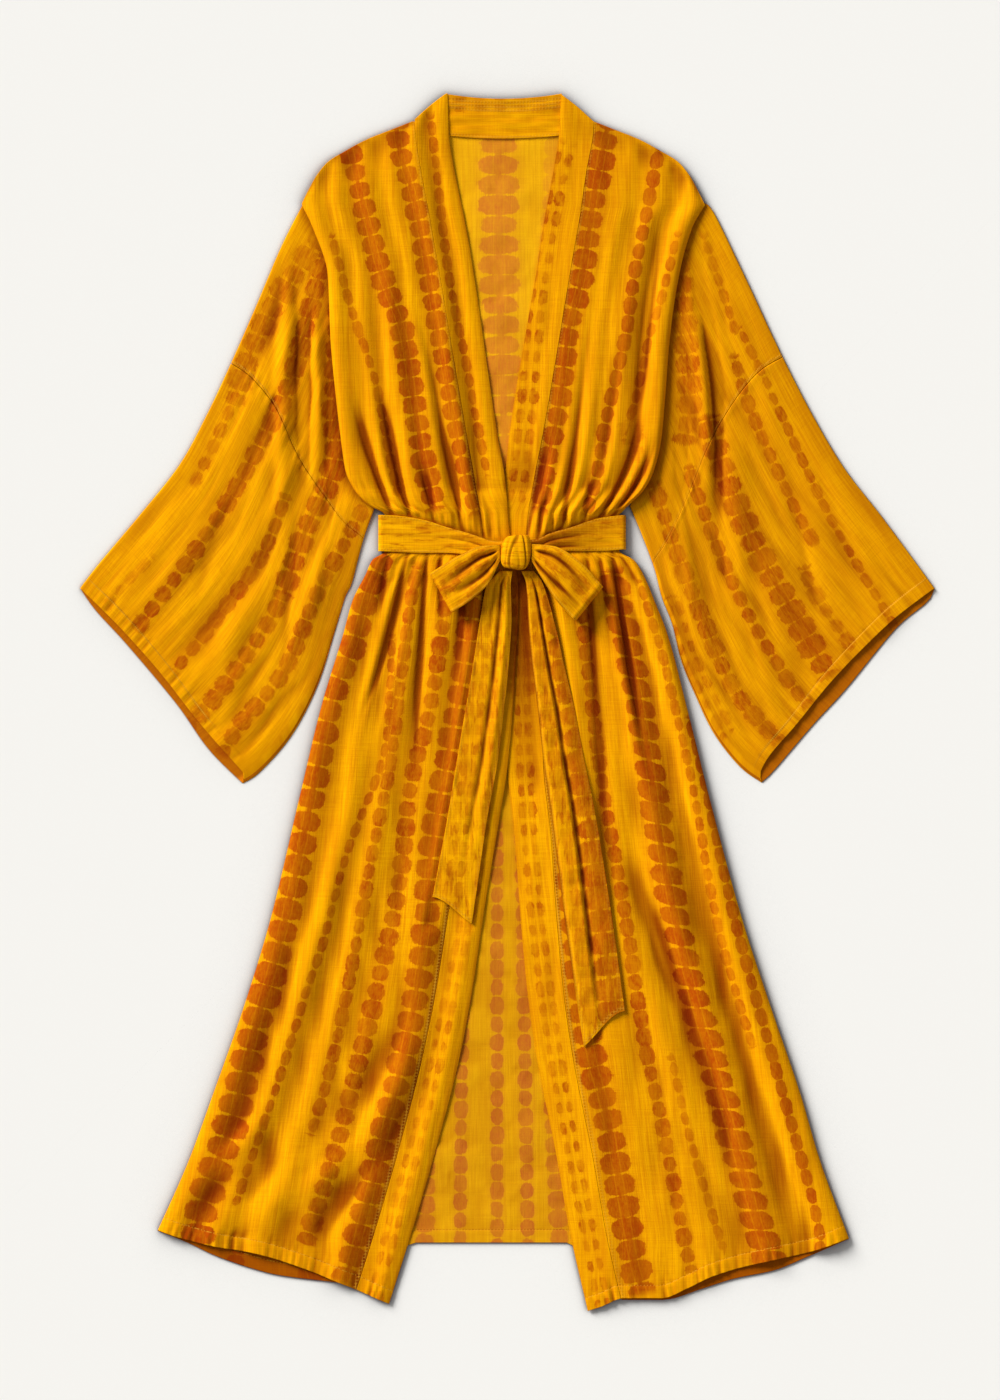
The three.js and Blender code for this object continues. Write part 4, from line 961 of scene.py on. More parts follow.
def bound_dots_group() -> bpy.types.NodeTree:
    """Dots left by tied and dyed stitches along the charted rows.

    Returns:
        The group, whose outputs are the dots' strength and the soft stain round them.
    """
    sockets = [(name, "NodeSocketFloat") for name in DOT_VALUES] + [("Place", "NodeSocketVector")]
    group, nodes, given, put = new_group("bound_dots", sockets, ["Mask", "Halo"])
    off, along, kind, tone, fill, worn = (given.outputs[name] for name in DOT_VALUES)
    place = given.outputs["Place"]
    plus, minus, times = nodes.plus, nodes.minus, nodes.times

    def chance(shift: float) -> Socket:
        """A number from 0 to 1 of each dot's own."""
        cell = plus(nodes.math("FLOOR", along), shift)
        return nodes.add("ShaderNodeTexWhiteNoise", {"W": cell}, noise_dimensions="1D").outputs["Value"]

    soft = minus(nodes.noise(place, 130, 2.0, 0.5), 0.5)
    fine = minus(nodes.threads(place, 620, 190, 2.0), 0.5)
    paired = nodes.math("MINIMUM", kind, 1.0)
    dashed = nodes.math("MAXIMUM", minus(kind, 1.0), 0.0)
    lobe = minus(times(off, 2.0), 1.0)
    inner = times(nodes.math("MAXIMUM", times(lobe, -1.0), 0.0), plus(0.8, times(dashed, 0.75)))
    outer = nodes.math("MAXIMUM", lobe, 0.0)
    pair = plus(inner, outer)
    twin = minus(paired, dashed)
    across = plus(times(off, minus(1.0, dashed)), times(pair, dashed))
    part = nodes.math("ABSOLUTE", minus(nodes.math("FRACT", along), 0.5))
    down = nodes.math("DIVIDE", times(part, 2.0), fill)
    power = plus(2.4, times(paired, 0.5))
    total = plus(nodes.math("POWER", across, power), nodes.math("POWER", down, power))
    ring = nodes.math("POWER", total, nodes.math("DIVIDE", 1.0, power))
    rough = plus(0.35, times(worn, 0.5))
    uneven = times(plus(times(soft, 0.8), times(fine, 0.5)), rough)
    uneven = plus(uneven, times(fine, worn, 0.55))
    sized = times(minus(chance(0.1), 0.5), plus(0.1, times(worn, 0.35)))
    edge = plus(plus(ring, uneven), sized)
    body = nodes.span(edge, 1.06, 0.95, 0.0, 1.0)
    varied = minus(1.0, times(chance(0.43), plus(0.12, times(worn, 0.45))))
    streaked = plus(1.0, times(fine, plus(0.5, times(worn, 1.2))))
    spine = times(nodes.span(plus(off, times(uneven, 0.3)), 0.22, 0.12, 0.0, 0.88), twin)
    beside = nodes.math("ABSOLUTE", minus(off, 0.27))
    line = minus(1.0, times(nodes.span(beside, 0.0, 0.08, 0.26, 0.0), twin))
    shape = nodes.math("MAXIMUM", times(body, line), spine)
    faded = nodes.span(nodes.threads(place, 110, 55), 0.42, 0.6, 1.0, 0.0)
    patchy = nodes.math("SUBTRACT", 1.0, times(faded, worn, 0.6), clamp=True)
    mask = nodes.math("MULTIPLY", times(shape, tone, patchy), times(varied, streaked), clamp=True)
    nodes.feed(put, {"Mask": mask, "Halo": times(nodes.span(edge, 1.7, 0.8, 0.0, 1.0), tone)})
    return group


def srgb(red: float, green: float, blue: float) -> Colour:
    """Turns a colour in display steps into the linear one that shaders want.

    Args:
        red: red from 0 to 255.
        green: green.
        blue: blue.

    Returns:
        The linear colour.
    """
    def linear(step: float) -> float:
        """One channel."""
        share = step / 255
        return share / 12.92 if share <= 0.04045 else ((share + 0.055) / 1.055) ** 2.4

    return linear(red), linear(green), linear(blue), 1.0


@dataclass(frozen=True)
class DyedCloth:
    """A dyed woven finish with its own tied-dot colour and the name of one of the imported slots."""

    name: str
    slot: str
    lit: Colour
    streaked: Colour
    # The tint that painted shade multiplies the colour towards; seams are darkened with it too.
    hollow: Colour
    dot: Colour
    thread: Colour = (0.9, 0.46, 0.03, 1)
    smudge: float = 0.0
    roughness: float = 0.84
    relief: float = 0.5

    def material(self, weave: bpy.types.NodeTree, dots: bpy.types.NodeTree) -> bpy.types.Material:
        """Builds the finish.

        Args:
            weave: the shared weave group.
            dots: the shared group of tied dots.

        Returns:
            The material.
        """
        made = bpy.data.materials.new(self.name)
        made.use_nodes = True
        made.node_tree.nodes.clear()
        made.diffuse_color = self.lit
        nodes = Nodes(made.node_tree)
        place = nodes.add("ShaderNodeUVMap", uv_map="cloth").outputs["UV"]
        woven = nodes.add("ShaderNodeGroup", {"Place": place}, node_tree=weave).outputs
        read = {name: nodes.attribute(f"row_{name.lower()}") for name in DOT_VALUES}
        tied = nodes.add("ShaderNodeGroup", {"Place": place, **read}, node_tree=dots).outputs
        ground = nodes.blend(nodes.times(woven["Streak"], 0.75), self.lit, self.streaked)
        ground = nodes.blend(nodes.times(woven["Cloud"], 0.4), ground, self.streaked)
        streaks = nodes.threads(place, 200, 42)
        ground = nodes.blend(nodes.span(streaks, 0.5, 0.72, 0.0, self.smudge), ground, self.dot)
        ground = nodes.blend(nodes.times(tied["Halo"], 0.22), ground, self.dot)
        dyed = nodes.blend(tied["Mask"], ground, self.dot)
        # Painted shade: darkens the colour towards the shade tint by the amount kept on the mesh.
        deep = nodes.blend(nodes.attribute("hollow"), dyed, self.hollow, "MULTIPLY")
        sewn = nodes.blend(nodes.times(nodes.attribute("seam"), 0.5), deep, self.hollow, "MULTIPLY")
        stitched = nodes.times(nodes.attribute("seam"), woven["Stitch"])
        sewn = nodes.blend(nodes.times(stitched, 0.6), sewn, self.thread)
        rough = nodes.minus(self.roughness + 0.06, nodes.times(woven["Streak"], 0.12))
        raised = nodes.plus(woven["Height"], stitched)
        bump = nodes.add("ShaderNodeBump", {
            "Strength": self.relief, "Distance": 0.0006, "Height": raised,
        })
        shader = nodes.add("ShaderNodeBsdfPrincipled", {
            "Base Color": sewn, "Roughness": rough, "Normal": bump.outputs["Normal"],
            "Specular IOR Level": 0.03,
        })
        nodes.add("ShaderNodeOutputMaterial", {"Surface": shader.outputs["BSDF"]})
        return made


FACE = DyedCloth(
    "saffron_cloth", "cloth", srgb(252, 179, 0), srgb(214, 129, 0), (0.36, 0.18, 0.05, 1), srgb(176, 74, 2),
)
WRONG = DyedCloth(
    "saffron_wrong_side", "cloth", srgb(248, 186, 14), srgb(226, 156, 10), (0.42, 0.2, 0.02, 1),
    srgb(206, 112, 36),
)
# The sleeves' inner face: a darker copy of the cloth, painted shade inside the tubes.
SHADED_INSIDE = DyedCloth(
    "saffron_sleeve_inside_painted_shade", "cloth", srgb(196, 112, 4), srgb(172, 90, 4), (0.5, 0.32, 0.2, 1),
    srgb(160, 70, 4),
)
BELT = DyedCloth(
    "saffron_belt_cloth", "belt_cloth", srgb(250, 180, 0), srgb(208, 124, 0), (0.26, 0.12, 0.03, 1),
    srgb(172, 76, 2), smudge=0.75,
)


class Wardrobe:
    """The finishes, built once, and the way every piece of cloth is made."""

    def __init__(self) -> None:
        """Builds the node groups and the materials."""
        weave, dots = slub_weave_group(), bound_dots_group()
        self.materials = {look.name: look.material(weave, dots) for look in (FACE, WRONG, SHADED_INSIDE, BELT)}

    @staticmethod
    def faces_of(rows: int, columns: int, wrapped: bool) -> tuple[Array, int]:
        """Joins the points of a shell's two sides, and its rim, by four-cornered faces.

        Args:
            rows: rows of points on each side.
            columns: columns of points on each side.
            wrapped: whether the columns go round a tube.

        Returns:
            The faces, with the outer side's first, and the number of those.
        """
        count = rows * columns
        number = np.arange(count).reshape(rows, columns)
        across = np.roll(number, -1, axis=1) if wrapped else number[:, 1:]
        here = number if wrapped else number[:, :-1]
        ring = np.stack([here[:-1], across[:-1], across[1:], here[1:]], axis=-1).reshape(-1, 4)
        rim = [
            np.stack([here[0], here[0] + count, across[0] + count, across[0]], axis=-1),
            np.stack([here[-1], across[-1], across[-1] + count, here[-1] + count], axis=-1),
        ]
        if not wrapped:
            for edge, step in ((number[:, 0], 1), (number[:, -1], -1)):
                sides = np.stack([edge[:-1], edge[1:], edge[1:] + count, edge[:-1] + count], axis=-1)
                rim.append(sides[:, ::step])
        return np.concatenate([ring, ring[:, ::-1] + count, *rim]), len(ring)

    @staticmethod
    def keep_values(mesh: bpy.types.Mesh, weave: Plan, values: dict[str, Array]) -> None:
        """Keeps the weave's places and further values on both sides of a shell.

        Args:
            mesh: the shell.
            weave: place on the cloth of each outer point.
            values: further values for each outer point.
        """
        place = np.stack(np.broadcast_arrays(*weave), axis=-1) * MM
        spots = np.concatenate([place.reshape(-1, 2)] * 2)
        corners = np.empty(len(mesh.loops), np.int32)
        mesh.loops.foreach_get("vertex_index", corners)
        layer = mesh.uv_layers.new(name="cloth")
        layer.data.foreach_set("uv", spots[corners].astype(np.float32).ravel())
        for label, grid in values.items():
            layer = mesh.attributes.new(label, "FLOAT", "POINT")
            layer.data.foreach_set("value", np.concatenate([grid.ravel()] * 2).astype(np.float32))

    def shell(self, name: str, node: str, outside: Array, inside: Array, weave: Plan,
              values: dict[str, Array], looks: tuple[DyedCloth, DyedCloth],
              wrapped: bool = False) -> Body:
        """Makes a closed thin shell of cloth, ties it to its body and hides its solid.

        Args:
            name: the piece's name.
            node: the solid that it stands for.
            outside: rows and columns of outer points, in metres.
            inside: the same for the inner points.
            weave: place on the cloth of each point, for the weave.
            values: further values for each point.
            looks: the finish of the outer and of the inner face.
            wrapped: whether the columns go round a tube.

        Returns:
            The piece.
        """
        faces, outer_count = self.faces_of(*outside.shape[:2], wrapped)
        points = np.concatenate([outside.reshape(-1, 3), inside.reshape(-1, 3)])
        a, b, c, d = (points[faces[:, i]] for i in range(4))
        if (a * np.cross(b, c)).sum() + (a * np.cross(c, d)).sum() < 0:
            faces = faces[:, ::-1]
        mesh = bpy.data.meshes.new(name)
        mesh.from_pydata(points.tolist(), [], faces.tolist())
        mesh.polygons.foreach_set("use_smooth", np.ones(len(faces), bool))
        skins = np.zeros(len(faces), np.int32)
        skins[outer_count:2 * outer_count] = 1
        for look in looks:
            mesh.materials.append(self.materials[look.name])
        mesh.polygons.foreach_set("material_index", skins)
        self.keep_values(mesh, weave, values)
        mesh.validate()
        piece = bpy.data.objects.new(name, mesh)
        bpy.context.scene.collection.objects.link(piece)
        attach(piece, "root")
        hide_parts(node)
        area = sum(face.area for face in mesh.polygons) / 2
        log.info("%s: %d points, %.4f square metres", name, len(mesh.vertices), area)
        return piece


def painted_shade_in_hollows(height: Array, rounds: int, depth: float) -> Array:
    """Painted shade: how deep each place lies below the cloth near and farther round it, from 0 to 1.

    Args:
        height: the cloth's height on a grid.
        rounds: how far round each place it looks.
        depth: the height difference that counts as deep.

    Returns:
        The depth at each place, which is painted on as shade.
    """
    near = blurred(height, rounds)
    wide = blurred(near, 4 * rounds)
    nearby = np.clip(0.5 * (near - height) / (0.5 * depth), 0, 0.6)
    return nearby + np.clip(0.4 * (wide - height) / depth, 0, 0.4)


def knot_shade(out: Array, down: Array) -> Array:
    """How deep the cloth lies in the shade under the knot, between the hanging ends."""
    middle = 16 + 0.04 * (down - 500)
    return 0.85 * bell(out - middle, 19) * ease(484, 492, down) * (1 - ease(560, 740, down))


def beneath_ends(out: Array, down: Array) -> Array:
    """The share by which the belt's hanging ends cover each place.

    Args:
        out: places across.
        down: places down.

    Returns:
        That share at each place.
    """
    covered = np.zeros(np.broadcast(out, down).shape)
    for cut in TAIL_CUTS.values():
        left, right = sides_of(cut.edges)
        inside = ease(-8, 0, out - left(down)) * ease(-8, 0, right(down) - out)
        lowest = max(spot.down for spot in cut.tip)
        covered = np.maximum(covered, inside * ease(490, 500, down) * (1 - ease(lowest, lowest + 8, down)))
    return covered


@dataclass
class PanelRows:
    """Where the rows of a body panel cross its flow lines, denser beside the belt and the hem."""

    bodice: int = 84
    belt: int = 8
    skirt: int = 120

    @staticmethod
    def meet(end_line: Callable, flow: Callable, start: float) -> Array:
        """Where a flow line meets a slanted end line.

        Args:
            end_line: the line's place down for a place out.
            flow: out for a place down, for all columns.
            start: a first guess of the place down.

        Returns:
            The place down where each column meets it.
        """
        down = np.full(np.shape(flow(start)), float(start))
        for _ in range(16):
            down = end_line(flow(down))
        return down

    def downs(self, flow: Callable, top: Callable, hem: Callable, upper: Callable, lower: Callable) -> Array:
        """The places down the garment of every row and column.

        Args:
            flow: out for a place down, for all columns.
            top: the upper end line.
            hem: the hem line.
            upper: the belt's upper edge.
            lower: the belt's lower edge.

        Returns:
            Rows by columns of places down.
        """
        start = self.meet(top, flow, 60)
        end = self.meet(hem, flow, 1230)
        high = upper(flow(WAIST_TOP + 8)) * np.ones_like(start)
        low = lower(flow(WAIST_BOTTOM)) * np.ones_like(start)
        edge = np.array([0, 0.002, 0.006])
        bodice = np.concatenate([edge, 1 - (1 - np.linspace(0.012, 1, self.bodice)) ** 1.25])
        skirt = np.linspace(0, 1, self.skirt) ** 1.25
        rows = [mix(start, high - 0.5, share) for share in bodice]
        rows += [mix(high, low, share) for share in np.linspace(0.06, 0.94, self.belt)]
        rows += [mix(low + 0.5, end - HEM_STEPS[0] - 3, share) for share in skirt]
        rows += [end - step for step in HEM_STEPS]
        return np.stack(rows)

    def hem_line(self, downs: Array) -> tuple[Array, Array]:
        """The stitch line of the turned hem and the share of the turning, for every row."""
        away = downs[-1:] - downs
        return bell(away - HEM_TURN, 0.35), ease(HEM_TURN + 0.6, HEM_TURN - 0.6, away)


def panel_columns(count: int, width: float) -> Array:
    """Shares across a panel, with short steps at both edges."""
    edge = np.array([0, 0.4, 1.4]) / width
    return np.concatenate([edge, np.linspace(4 / width, 1 - 4 / width, count), 1 - edge[::-1]])


def belt_columns(count: int) -> Array:
    """Shares across a folded belt, with short steps at both edges."""
    return np.concatenate([[0, 0.012, 0.035], np.linspace(0.07, 0.93, count), [0.965, 0.988, 1]])


def edge_stitches(share: Array, inset: float, width: float) -> Array:
    """A stitch line along each of the two edges."""
    return bell(share - inset, width) + bell(share - (1 - inset), width)


@dataclass
class Part:
    """A part of the garment, made with the wardrobe's finishes."""

    wardrobe: Wardrobe


@dataclass
class Back(Part):
    """The back, one panel from the shoulders to the hem, wrong side up."""

    columns: int = 100
    flat: tuple[float, float] = (0.66, 1.24)
    area: float = 0.56

    def height(self, out: Array, down: Array) -> Array:
        """Height of the underside."""
        return BELT_LIFT * waist_share(down) + 0 * out

    def build(self) -> None:
        left_arm, right_arm = sides_of(BACK_SIDES)
        left_seam, right_seam = sides_of(SIDE_SEAMS)
        hem = columns_of(BACK_HEM, "out", "down")
        share = panel_columns(self.columns, 400)

        def left(down: Number) -> Array:
            """The left edge, drawn in a little under the belt."""
            seam = left_seam(down) + 1 - ease(WAIST_BOTTOM, WAIST_BOTTOM + 40, down)
            return np.where(down < WAIST_BOTTOM, left_arm(down), seam)

        def right(down: Number) -> Array:
            """The right edge, drawn in a little under the belt."""
            seam = right_seam(down) - 1 + ease(WAIST_BOTTOM, WAIST_BOTTOM + 40, down)
            return np.where(down < WAIST_BOTTOM, right_arm(down), seam)

        def top(out: Number) -> Array:
            """The neck edge and the shoulder fold."""
            neck = mix(neck_curve(out), 29.5, ease(60, 95, np.abs(out)))
            return np.where(np.abs(out) < 95, neck, shoulder(out) + 0.5)

        def flow(down: Number) -> Array:
            """Out for a place down."""
            return mix(left(down), right(down), share)

        rows = PanelRows(bodice=60, skirt=100)
        downs = rows.downs(flow, top, hem, lambda out: WAIST_TOP - 1, lambda out: WAIST_BOTTOM + 1)
        out = mix(left(downs), right(downs), share)
        seam, turned = rows.hem_line(downs)
        low = self.height(out, downs)
        soft = 0.35 * ripple(out, downs, 5, 70) + 0.2 * ripple(out, downs, 6, 24)
        inside_edges = ease(0, 12, downs - downs[:1]) * ease(0, 12, downs[-1:] - downs)
        high = low + CLOTH + np.maximum(-0.25, soft) * inside_edges + 0.35 * turned - 0.3 * seam
        # Painted shade: in the cloth's hollows, under the fronts' side edges near the hem, and a little more
        # below the belt.
        shaded = 0.85 * ease(108, 130, np.abs(out)) * ease(70, 30, downs[-1:] - downs)
        lower = 0.27 * ease(470, 600, downs)
        hollow = np.clip(np.maximum(0.4 * painted_shade_in_hollows(high, 8, 0.8), shaded) + lower, 0, 1)
        values = Print(BACK_ROWS, 60).values(out, downs, hollow, seam)
        piece = self.wardrobe.shell(
            "back", "back_panel", world(out, downs, high), world(out, downs, low), (out, downs), values,
            (WRONG, FACE),
        )


@dataclass(frozen=True)
class Span:
    """One of a front's two pieces: its name, its solid, its place across, its cloth and its print."""

    name: str
    node: str
    columns: Array
    wall: float
    top: Callable
    start: Callable
    end: Callable
    rows: Sequence[DotRow]
    stitches: tuple[float, ...] = ()


# Painted shade over each side, more on the right, which turns a little away from the light.
FRONT_SHADE = {LEFT: 0.05, RIGHT: 0.13}
SLEEVE_SHADE = {LEFT: 0.06, RIGHT: 0.17}


@dataclass
class FrontHalf(Part):
    """One front with its band, as one height field over its plan."""

    side: Side
    hem_table: Sequence[Spot]
    columns: int = 104
    band_columns: int = 22
    flat: tuple[float, float] = (0.30, 1.26)
    area: float = 0.22
    band_flat: tuple[float, float] = (0.038, 1.28)

    def __post_init__(self) -> None:
        """Fits the curves of the edges."""
        word = self.side.word
        self.side_seam = columns_of(SIDE_SEAMS, "down", word)
        self.band_seam = columns_of(BAND_EDGES, "down", f"{word}_seam")
        self.opening = columns_of(BAND_EDGES, "down", f"{word}_open")
        self.hem = columns_of(self.hem_table, "out", "down")

    def from_edges(self, out: Array, down: Array) -> Plan:
        """Distances from the side seam and from the opening."""
        return np.abs(out - self.side_seam(down)), np.abs(out - self.opening(down))

    def overlap(self, down: Array) -> Array:
        """Where the left half lies over the right one."""
        return ease(352, 400, down) * (1 - ease(706, 760, down))

    def rest(self, out: Array, down: Array) -> Array:
        """Height of what the half lies on.

        Args:
            out: places across.
            down: places down.

        Returns:
            That height at each place.
        """
        from_side, from_opening = self.from_edges(out, down)
        over_sleeve = (1 - ease(14, 44, from_side)) * (1 - ease(ARMPIT, ARMPIT + 8, down))
        crossed = self.overlap(down)
        bulk = WAIST_BULK * ease(0, 9, from_side) * waist_share(down)
        height = CLOTH + SEAM_GAP + BELT_LIFT * waist_share(down, 14) + 1.9 * over_sleeve
        if self.side is RIGHT:
            return height + bulk * mix(1, ease(24, 40, from_opening), crossed)
        on_top = 1.8 * (1 - ease(22, 38, from_opening)) * crossed
        return height + np.maximum(bulk, on_top)

    def puff(self, out: Array, down: Array) -> Array:
        """How far the cloth stands up between its gathers.

        Args:
            out: places across.
            down: places down.

        Returns:
            That height at each place.
        """
        above = belt_top(out) - down
        below = down - belt_bottom(out)
        rise = np.where(above > 0, blouse_rise(above), flare_rise(below))
        from_side, from_opening = self.from_edges(out, down)
        side_share = np.sqrt(ease(-0.2, 2.4, from_side))
        open_share = mix(0.15, 1, ease(0, 45, from_opening))
        crossed_share = ease(24, 50, from_opening) if self.side is RIGHT else open_share
        share = mix(open_share, crossed_share, self.overlap(down))
        top_share = mix(0.3, 1, ease(0, 45, down - shoulder(out)))
        puffed = rise * side_share * share * top_share * gather_cut(self.side, out, down, below > 0)
        return np.where((above <= 0) & (below <= 0), 0.0, puffed)

    def height(self, out: Array, down: Array) -> Array:
        """Height of the underside.

        Args:
            out: places across.
            down: places down.

        Returns:
            That height at each place.
        """
        from_side, from_opening = self.from_edges(out, down)
        crossed = self.overlap(down) if self.side is RIGHT else 0.0
        free = ease(4, 30, from_side) * mix(1, ease(24, 50, from_opening), crossed)
        roll = 3.5 * (1 - ease(8, 90, down)) * (1 - ease(0, 60, from_opening))
        folds = 1.4 * fold_rise(FOLDS[self.side], out, down)
        loose = free * (folds + 1.5 * fold_rise(FINE_FOLDS[self.side], out, down))
        return self.rest(out, down) + np.maximum(0, self.puff(out, down) + loose) + roll

    def fine(self, out: Array, down: Array, share: Array) -> Array:
        """Small unevenness: puckers at the belt, soft waves along the cloth and crumples.

        Args:
            out: places across.
            down: places down.
            share: places as shares from the side seam to the opening.

        Returns:
            The added height at each place.
        """
        above = np.maximum(belt_top(out) - down, 0)
        below = np.maximum(down - belt_bottom(out), 0)
        away = above + below
        seed = 10 + self.side.value
        above_belt = np.where(above > 0, 0.5, 0.25)
        puckers = above_belt * waves_across(share, seed, 14, 26) * np.exp(-away / 24) * ease(0, 5, away)
        gathered = 1.9 * waves_across(share, seed + 2, 5, 11) * np.exp(-away / 80) * ease(0, 12, away)
        ribs = np.where(above > 0, 1.5, 2.2) * waves_across(share, seed + 4, 2.2, 6) * ease(5, 90, away)
        crumple = 0.25 * ripple(out, down * 0.25, seed + 8, 24) * ease(4, 40, away)
        from_side, from_opening = self.from_edges(out, down)
        crossed = self.overlap(down) if self.side is RIGHT else 0.0
        free = ease(0, 5, from_side) * mix(ease(-6, 16, from_opening), ease(24, 50, from_opening), crossed)
        total = (puckers + gathered + ribs + crumple) * free
        under = beneath_ends(out, down)
        return mix(total, np.minimum(total, 0.2), under)

    def build_span(self, span: Span) -> Body:
        """Builds one of the half's two pieces.

        Args:
            span: what the piece is.

        Returns:
            The piece.
        """
        def flow(down: Number) -> Array:
            """Out for a place down."""
            return mix(span.start(down), span.end(down), span.columns)

        rows = PanelRows()
        downs = rows.downs(flow, span.top, self.hem, belt_top, belt_bottom)
        out = mix(span.start(downs), span.end(downs), span.columns)
        from_side, from_opening = self.from_edges(out, downs)
        share = (out - self.side_seam(downs)) / (self.opening(downs) - self.side_seam(downs))
        seam, turned = rows.hem_line(downs)
        for distance in span.stitches:
            seam = np.maximum(seam, 0.9 * bell(np.abs(out - span.end(downs)) - distance, 0.6))
        steep = upright(self.height, out, downs)
        hem_waves = 0.5 * waves_across(share, 31 + self.side.value, 18, 40) * ease(26, 4, downs[-1:] - downs)
        fine = self.fine(out, downs, share) + hem_waves * ease(0, 10, from_opening)
        high = self.height(out, downs) + span.wall * steep + fine * ease(0, 10, downs - downs[:1])
        high = high + 0.45 * turned - 0.35 * seam - 0.7 * bell(from_opening, 1.6)
        lowest = self.rest(out, downs) + 0.8
        high = lowest + np.logaddexp(0, 2 * (high - lowest)) / 2
        low = np.maximum(high - SHELL * steep, CLOTH + 0.1)
        # Painted shade: in the hollows (less at the side seam), along the gathers' bottoms, under the knot,
        # and a little over all, more on the right above the belt.
        hollow = painted_shade_in_hollows(high, 12, 1.8) * mix(0.2, 1, ease(1, 9, from_side))
        hollow = hollow + 0.9 * painted_crease_shade(self.side, out, downs) + knot_shade(out, downs)
        hollow = hollow + mix(FRONT_SHADE[self.side], 0.06, ease(420, 480, downs))
        printed = Print(span.rows, 3 * (2 + self.side.value))
        values = printed.values(out, downs, np.clip(hollow, 0, 1), seam)
        weave = out - 0.35 * self.side_seam(downs), downs
        return self.wardrobe.shell(
            span.name, span.node, world(out, downs, high), world(out, downs, low), weave, values,
            (FACE, WRONG),
        )

    def build(self) -> None:
        word = self.side.word
        gap = self.side.value * SEAM_GAP / 2
        front = self.build_span(Span(
            f"front_of_{word}", f"front_{word}", panel_columns(self.columns, 160), CLOTH, shoulder,
            self.side_seam, lambda down: self.band_seam(down) + gap, FRONT_ROWS[self.side], (1.6,),
        ))
        band = self.build_span(Span(
            f"front_band_{word}", f"band_{word}", panel_columns(self.band_columns, 38), BAND_CLOTH,
            collar_top, lambda down: self.band_seam(down) - gap, self.opening, BAND_ROWS[self.side],
        ))


@dataclass
class NeckBand(Part):
    """The stretch of band behind the neck."""

    half: float = 56
    flat: tuple[float, float] = (0.116, 0.042)

    def build(self) -> None:
        columns = panel_columns(64, 114)[None, :]
        rows = np.concatenate([[0, 0.01, 0.035], np.linspace(0.08, 0.92, 26), [0.965, 0.99, 1]])[:, None]
        level = mix(3, 44, rows)
        left = columns_of(BAND_EDGES, "down", "left_open")(level) - 0.8
        right = columns_of(BAND_EDGES, "down", "right_open")(level) + 0.8
        out = mix(left, right, columns)
        upper = 5.5 - 4.5 * (out / self.half) ** 2
        down = mix(upper, neck_curve(out) + 1, rows)
        low = CLOTH + SEAM_GAP + 2.6 * (1 - rows) ** 1.5 + 0 * out
        lines = sum(bell(rows - at, 0.018) for at in (0.1, 0.2, 0.3, 0.95))
        high = low + BAND_CLOTH + 0.25 * ripple(out, down * 2, 44, 30) * ease(0, 0.1, rows) - 0.25 * lines
        printed = Print((dash_row((450, 105), (505, 103), (562, 105), tone=0.45),), 90)
        seam = np.clip(lines, 0, 1) * np.ones_like(out)
        # Painted shade in the band's hollows.
        values = printed.values(out, down, 0.6 * painted_shade_in_hollows(high, 6, 0.8), seam)
        piece = self.wardrobe.shell(
            "neck_band", "band_neck", world(out, down, high), world(out, down, low), (down, out), values,
            (FACE, FACE),
        )


@dataclass(frozen=True)
class SleeveCut:
    """The plan of one sleeve: its long edges, armhole, the two layers' cuffs and the cross seam."""

    outer: tuple[Spot, ...]
    inner: tuple[Spot, ...]
    armhole: tuple[Spot, ...]
    cuff: tuple[Spot, ...]
    cuff_under: tuple[Spot, ...]
    seam: tuple[tuple[float, float], ...]


class Layer(Enum):
    """The two layers of a sleeve that lies flat."""

    TOP = 0
    UNDER = 1


SLEEVE_CUTS = {
    LEFT: SleeveCut(
        outer=table_of(
            Spot, (-210, 115.5), (-233, 161), (-261, 227), (-287, 286), (-312, 339), (-340, 390),
            (-382, 443), (-424, 493), (-444, 519),
        ),
        inner=table_of(
            Spot, (-135, 436), (-146, 468), (-158, 514), (-165, 529), (-176, 566), (-191, 615), (-209, 655),
            (-229, 686), (-256, 715), (-272, 725),
        ),
        armhole=table_of(
            Spot, (-210, 115.5), (-191, 141), (-174, 191), (-170, 258), (-164, 322), (-153, 397),
            (-135, 436),
        ),
        cuff=table_of(Spot, (-444, 519), (-404, 558), (-361, 606), (-317, 662), (-272, 713)),
        cuff_under=table_of(
            Spot, (-444, 519), (-427, 543), (-394, 579), (-343, 640), (-309, 688), (-272, 725),
        ),
        seam=((0, 0.39), (0.5, 0.3), (1, 0.105)),
    ),
    RIGHT: SleeveCut(
        outer=table_of(
            Spot, (211, 114.5), (222, 126), (255, 194), (292, 273), (326, 339), (359, 394), (400, 447),
            (453, 519),
        ),
        inner=table_of(
            Spot, (133, 433), (144, 460), (158, 498), (166, 529), (177, 558), (186, 595), (200, 630),
            (220, 672), (247, 707), (270, 724),
        ),
        armhole=table_of(
            Spot, (211, 114.5), (190, 141), (175, 191), (164, 258), (159, 322), (147, 397), (133, 433),
        ),
        cuff=table_of(
            Spot, (453, 519), (412, 550), (377, 583), (342, 620), (308, 662), (281, 693), (270, 712),
        ),
        cuff_under=table_of(
            Spot, (453, 519), (446, 533), (412, 562), (360, 625), (326, 662), (284, 711), (270, 724),
        ),
        seam=((0, 0.385), (0.5, 0.3), (1, 0.2)),
    ),
}


def sleeve_lengths(across: Array, along: Array) -> Plan:
    """Rough lengths across and along a sleeve."""
    return SLEEVE_WIDE * across + 0 * along, SLEEVE_LONG * along + 0 * across


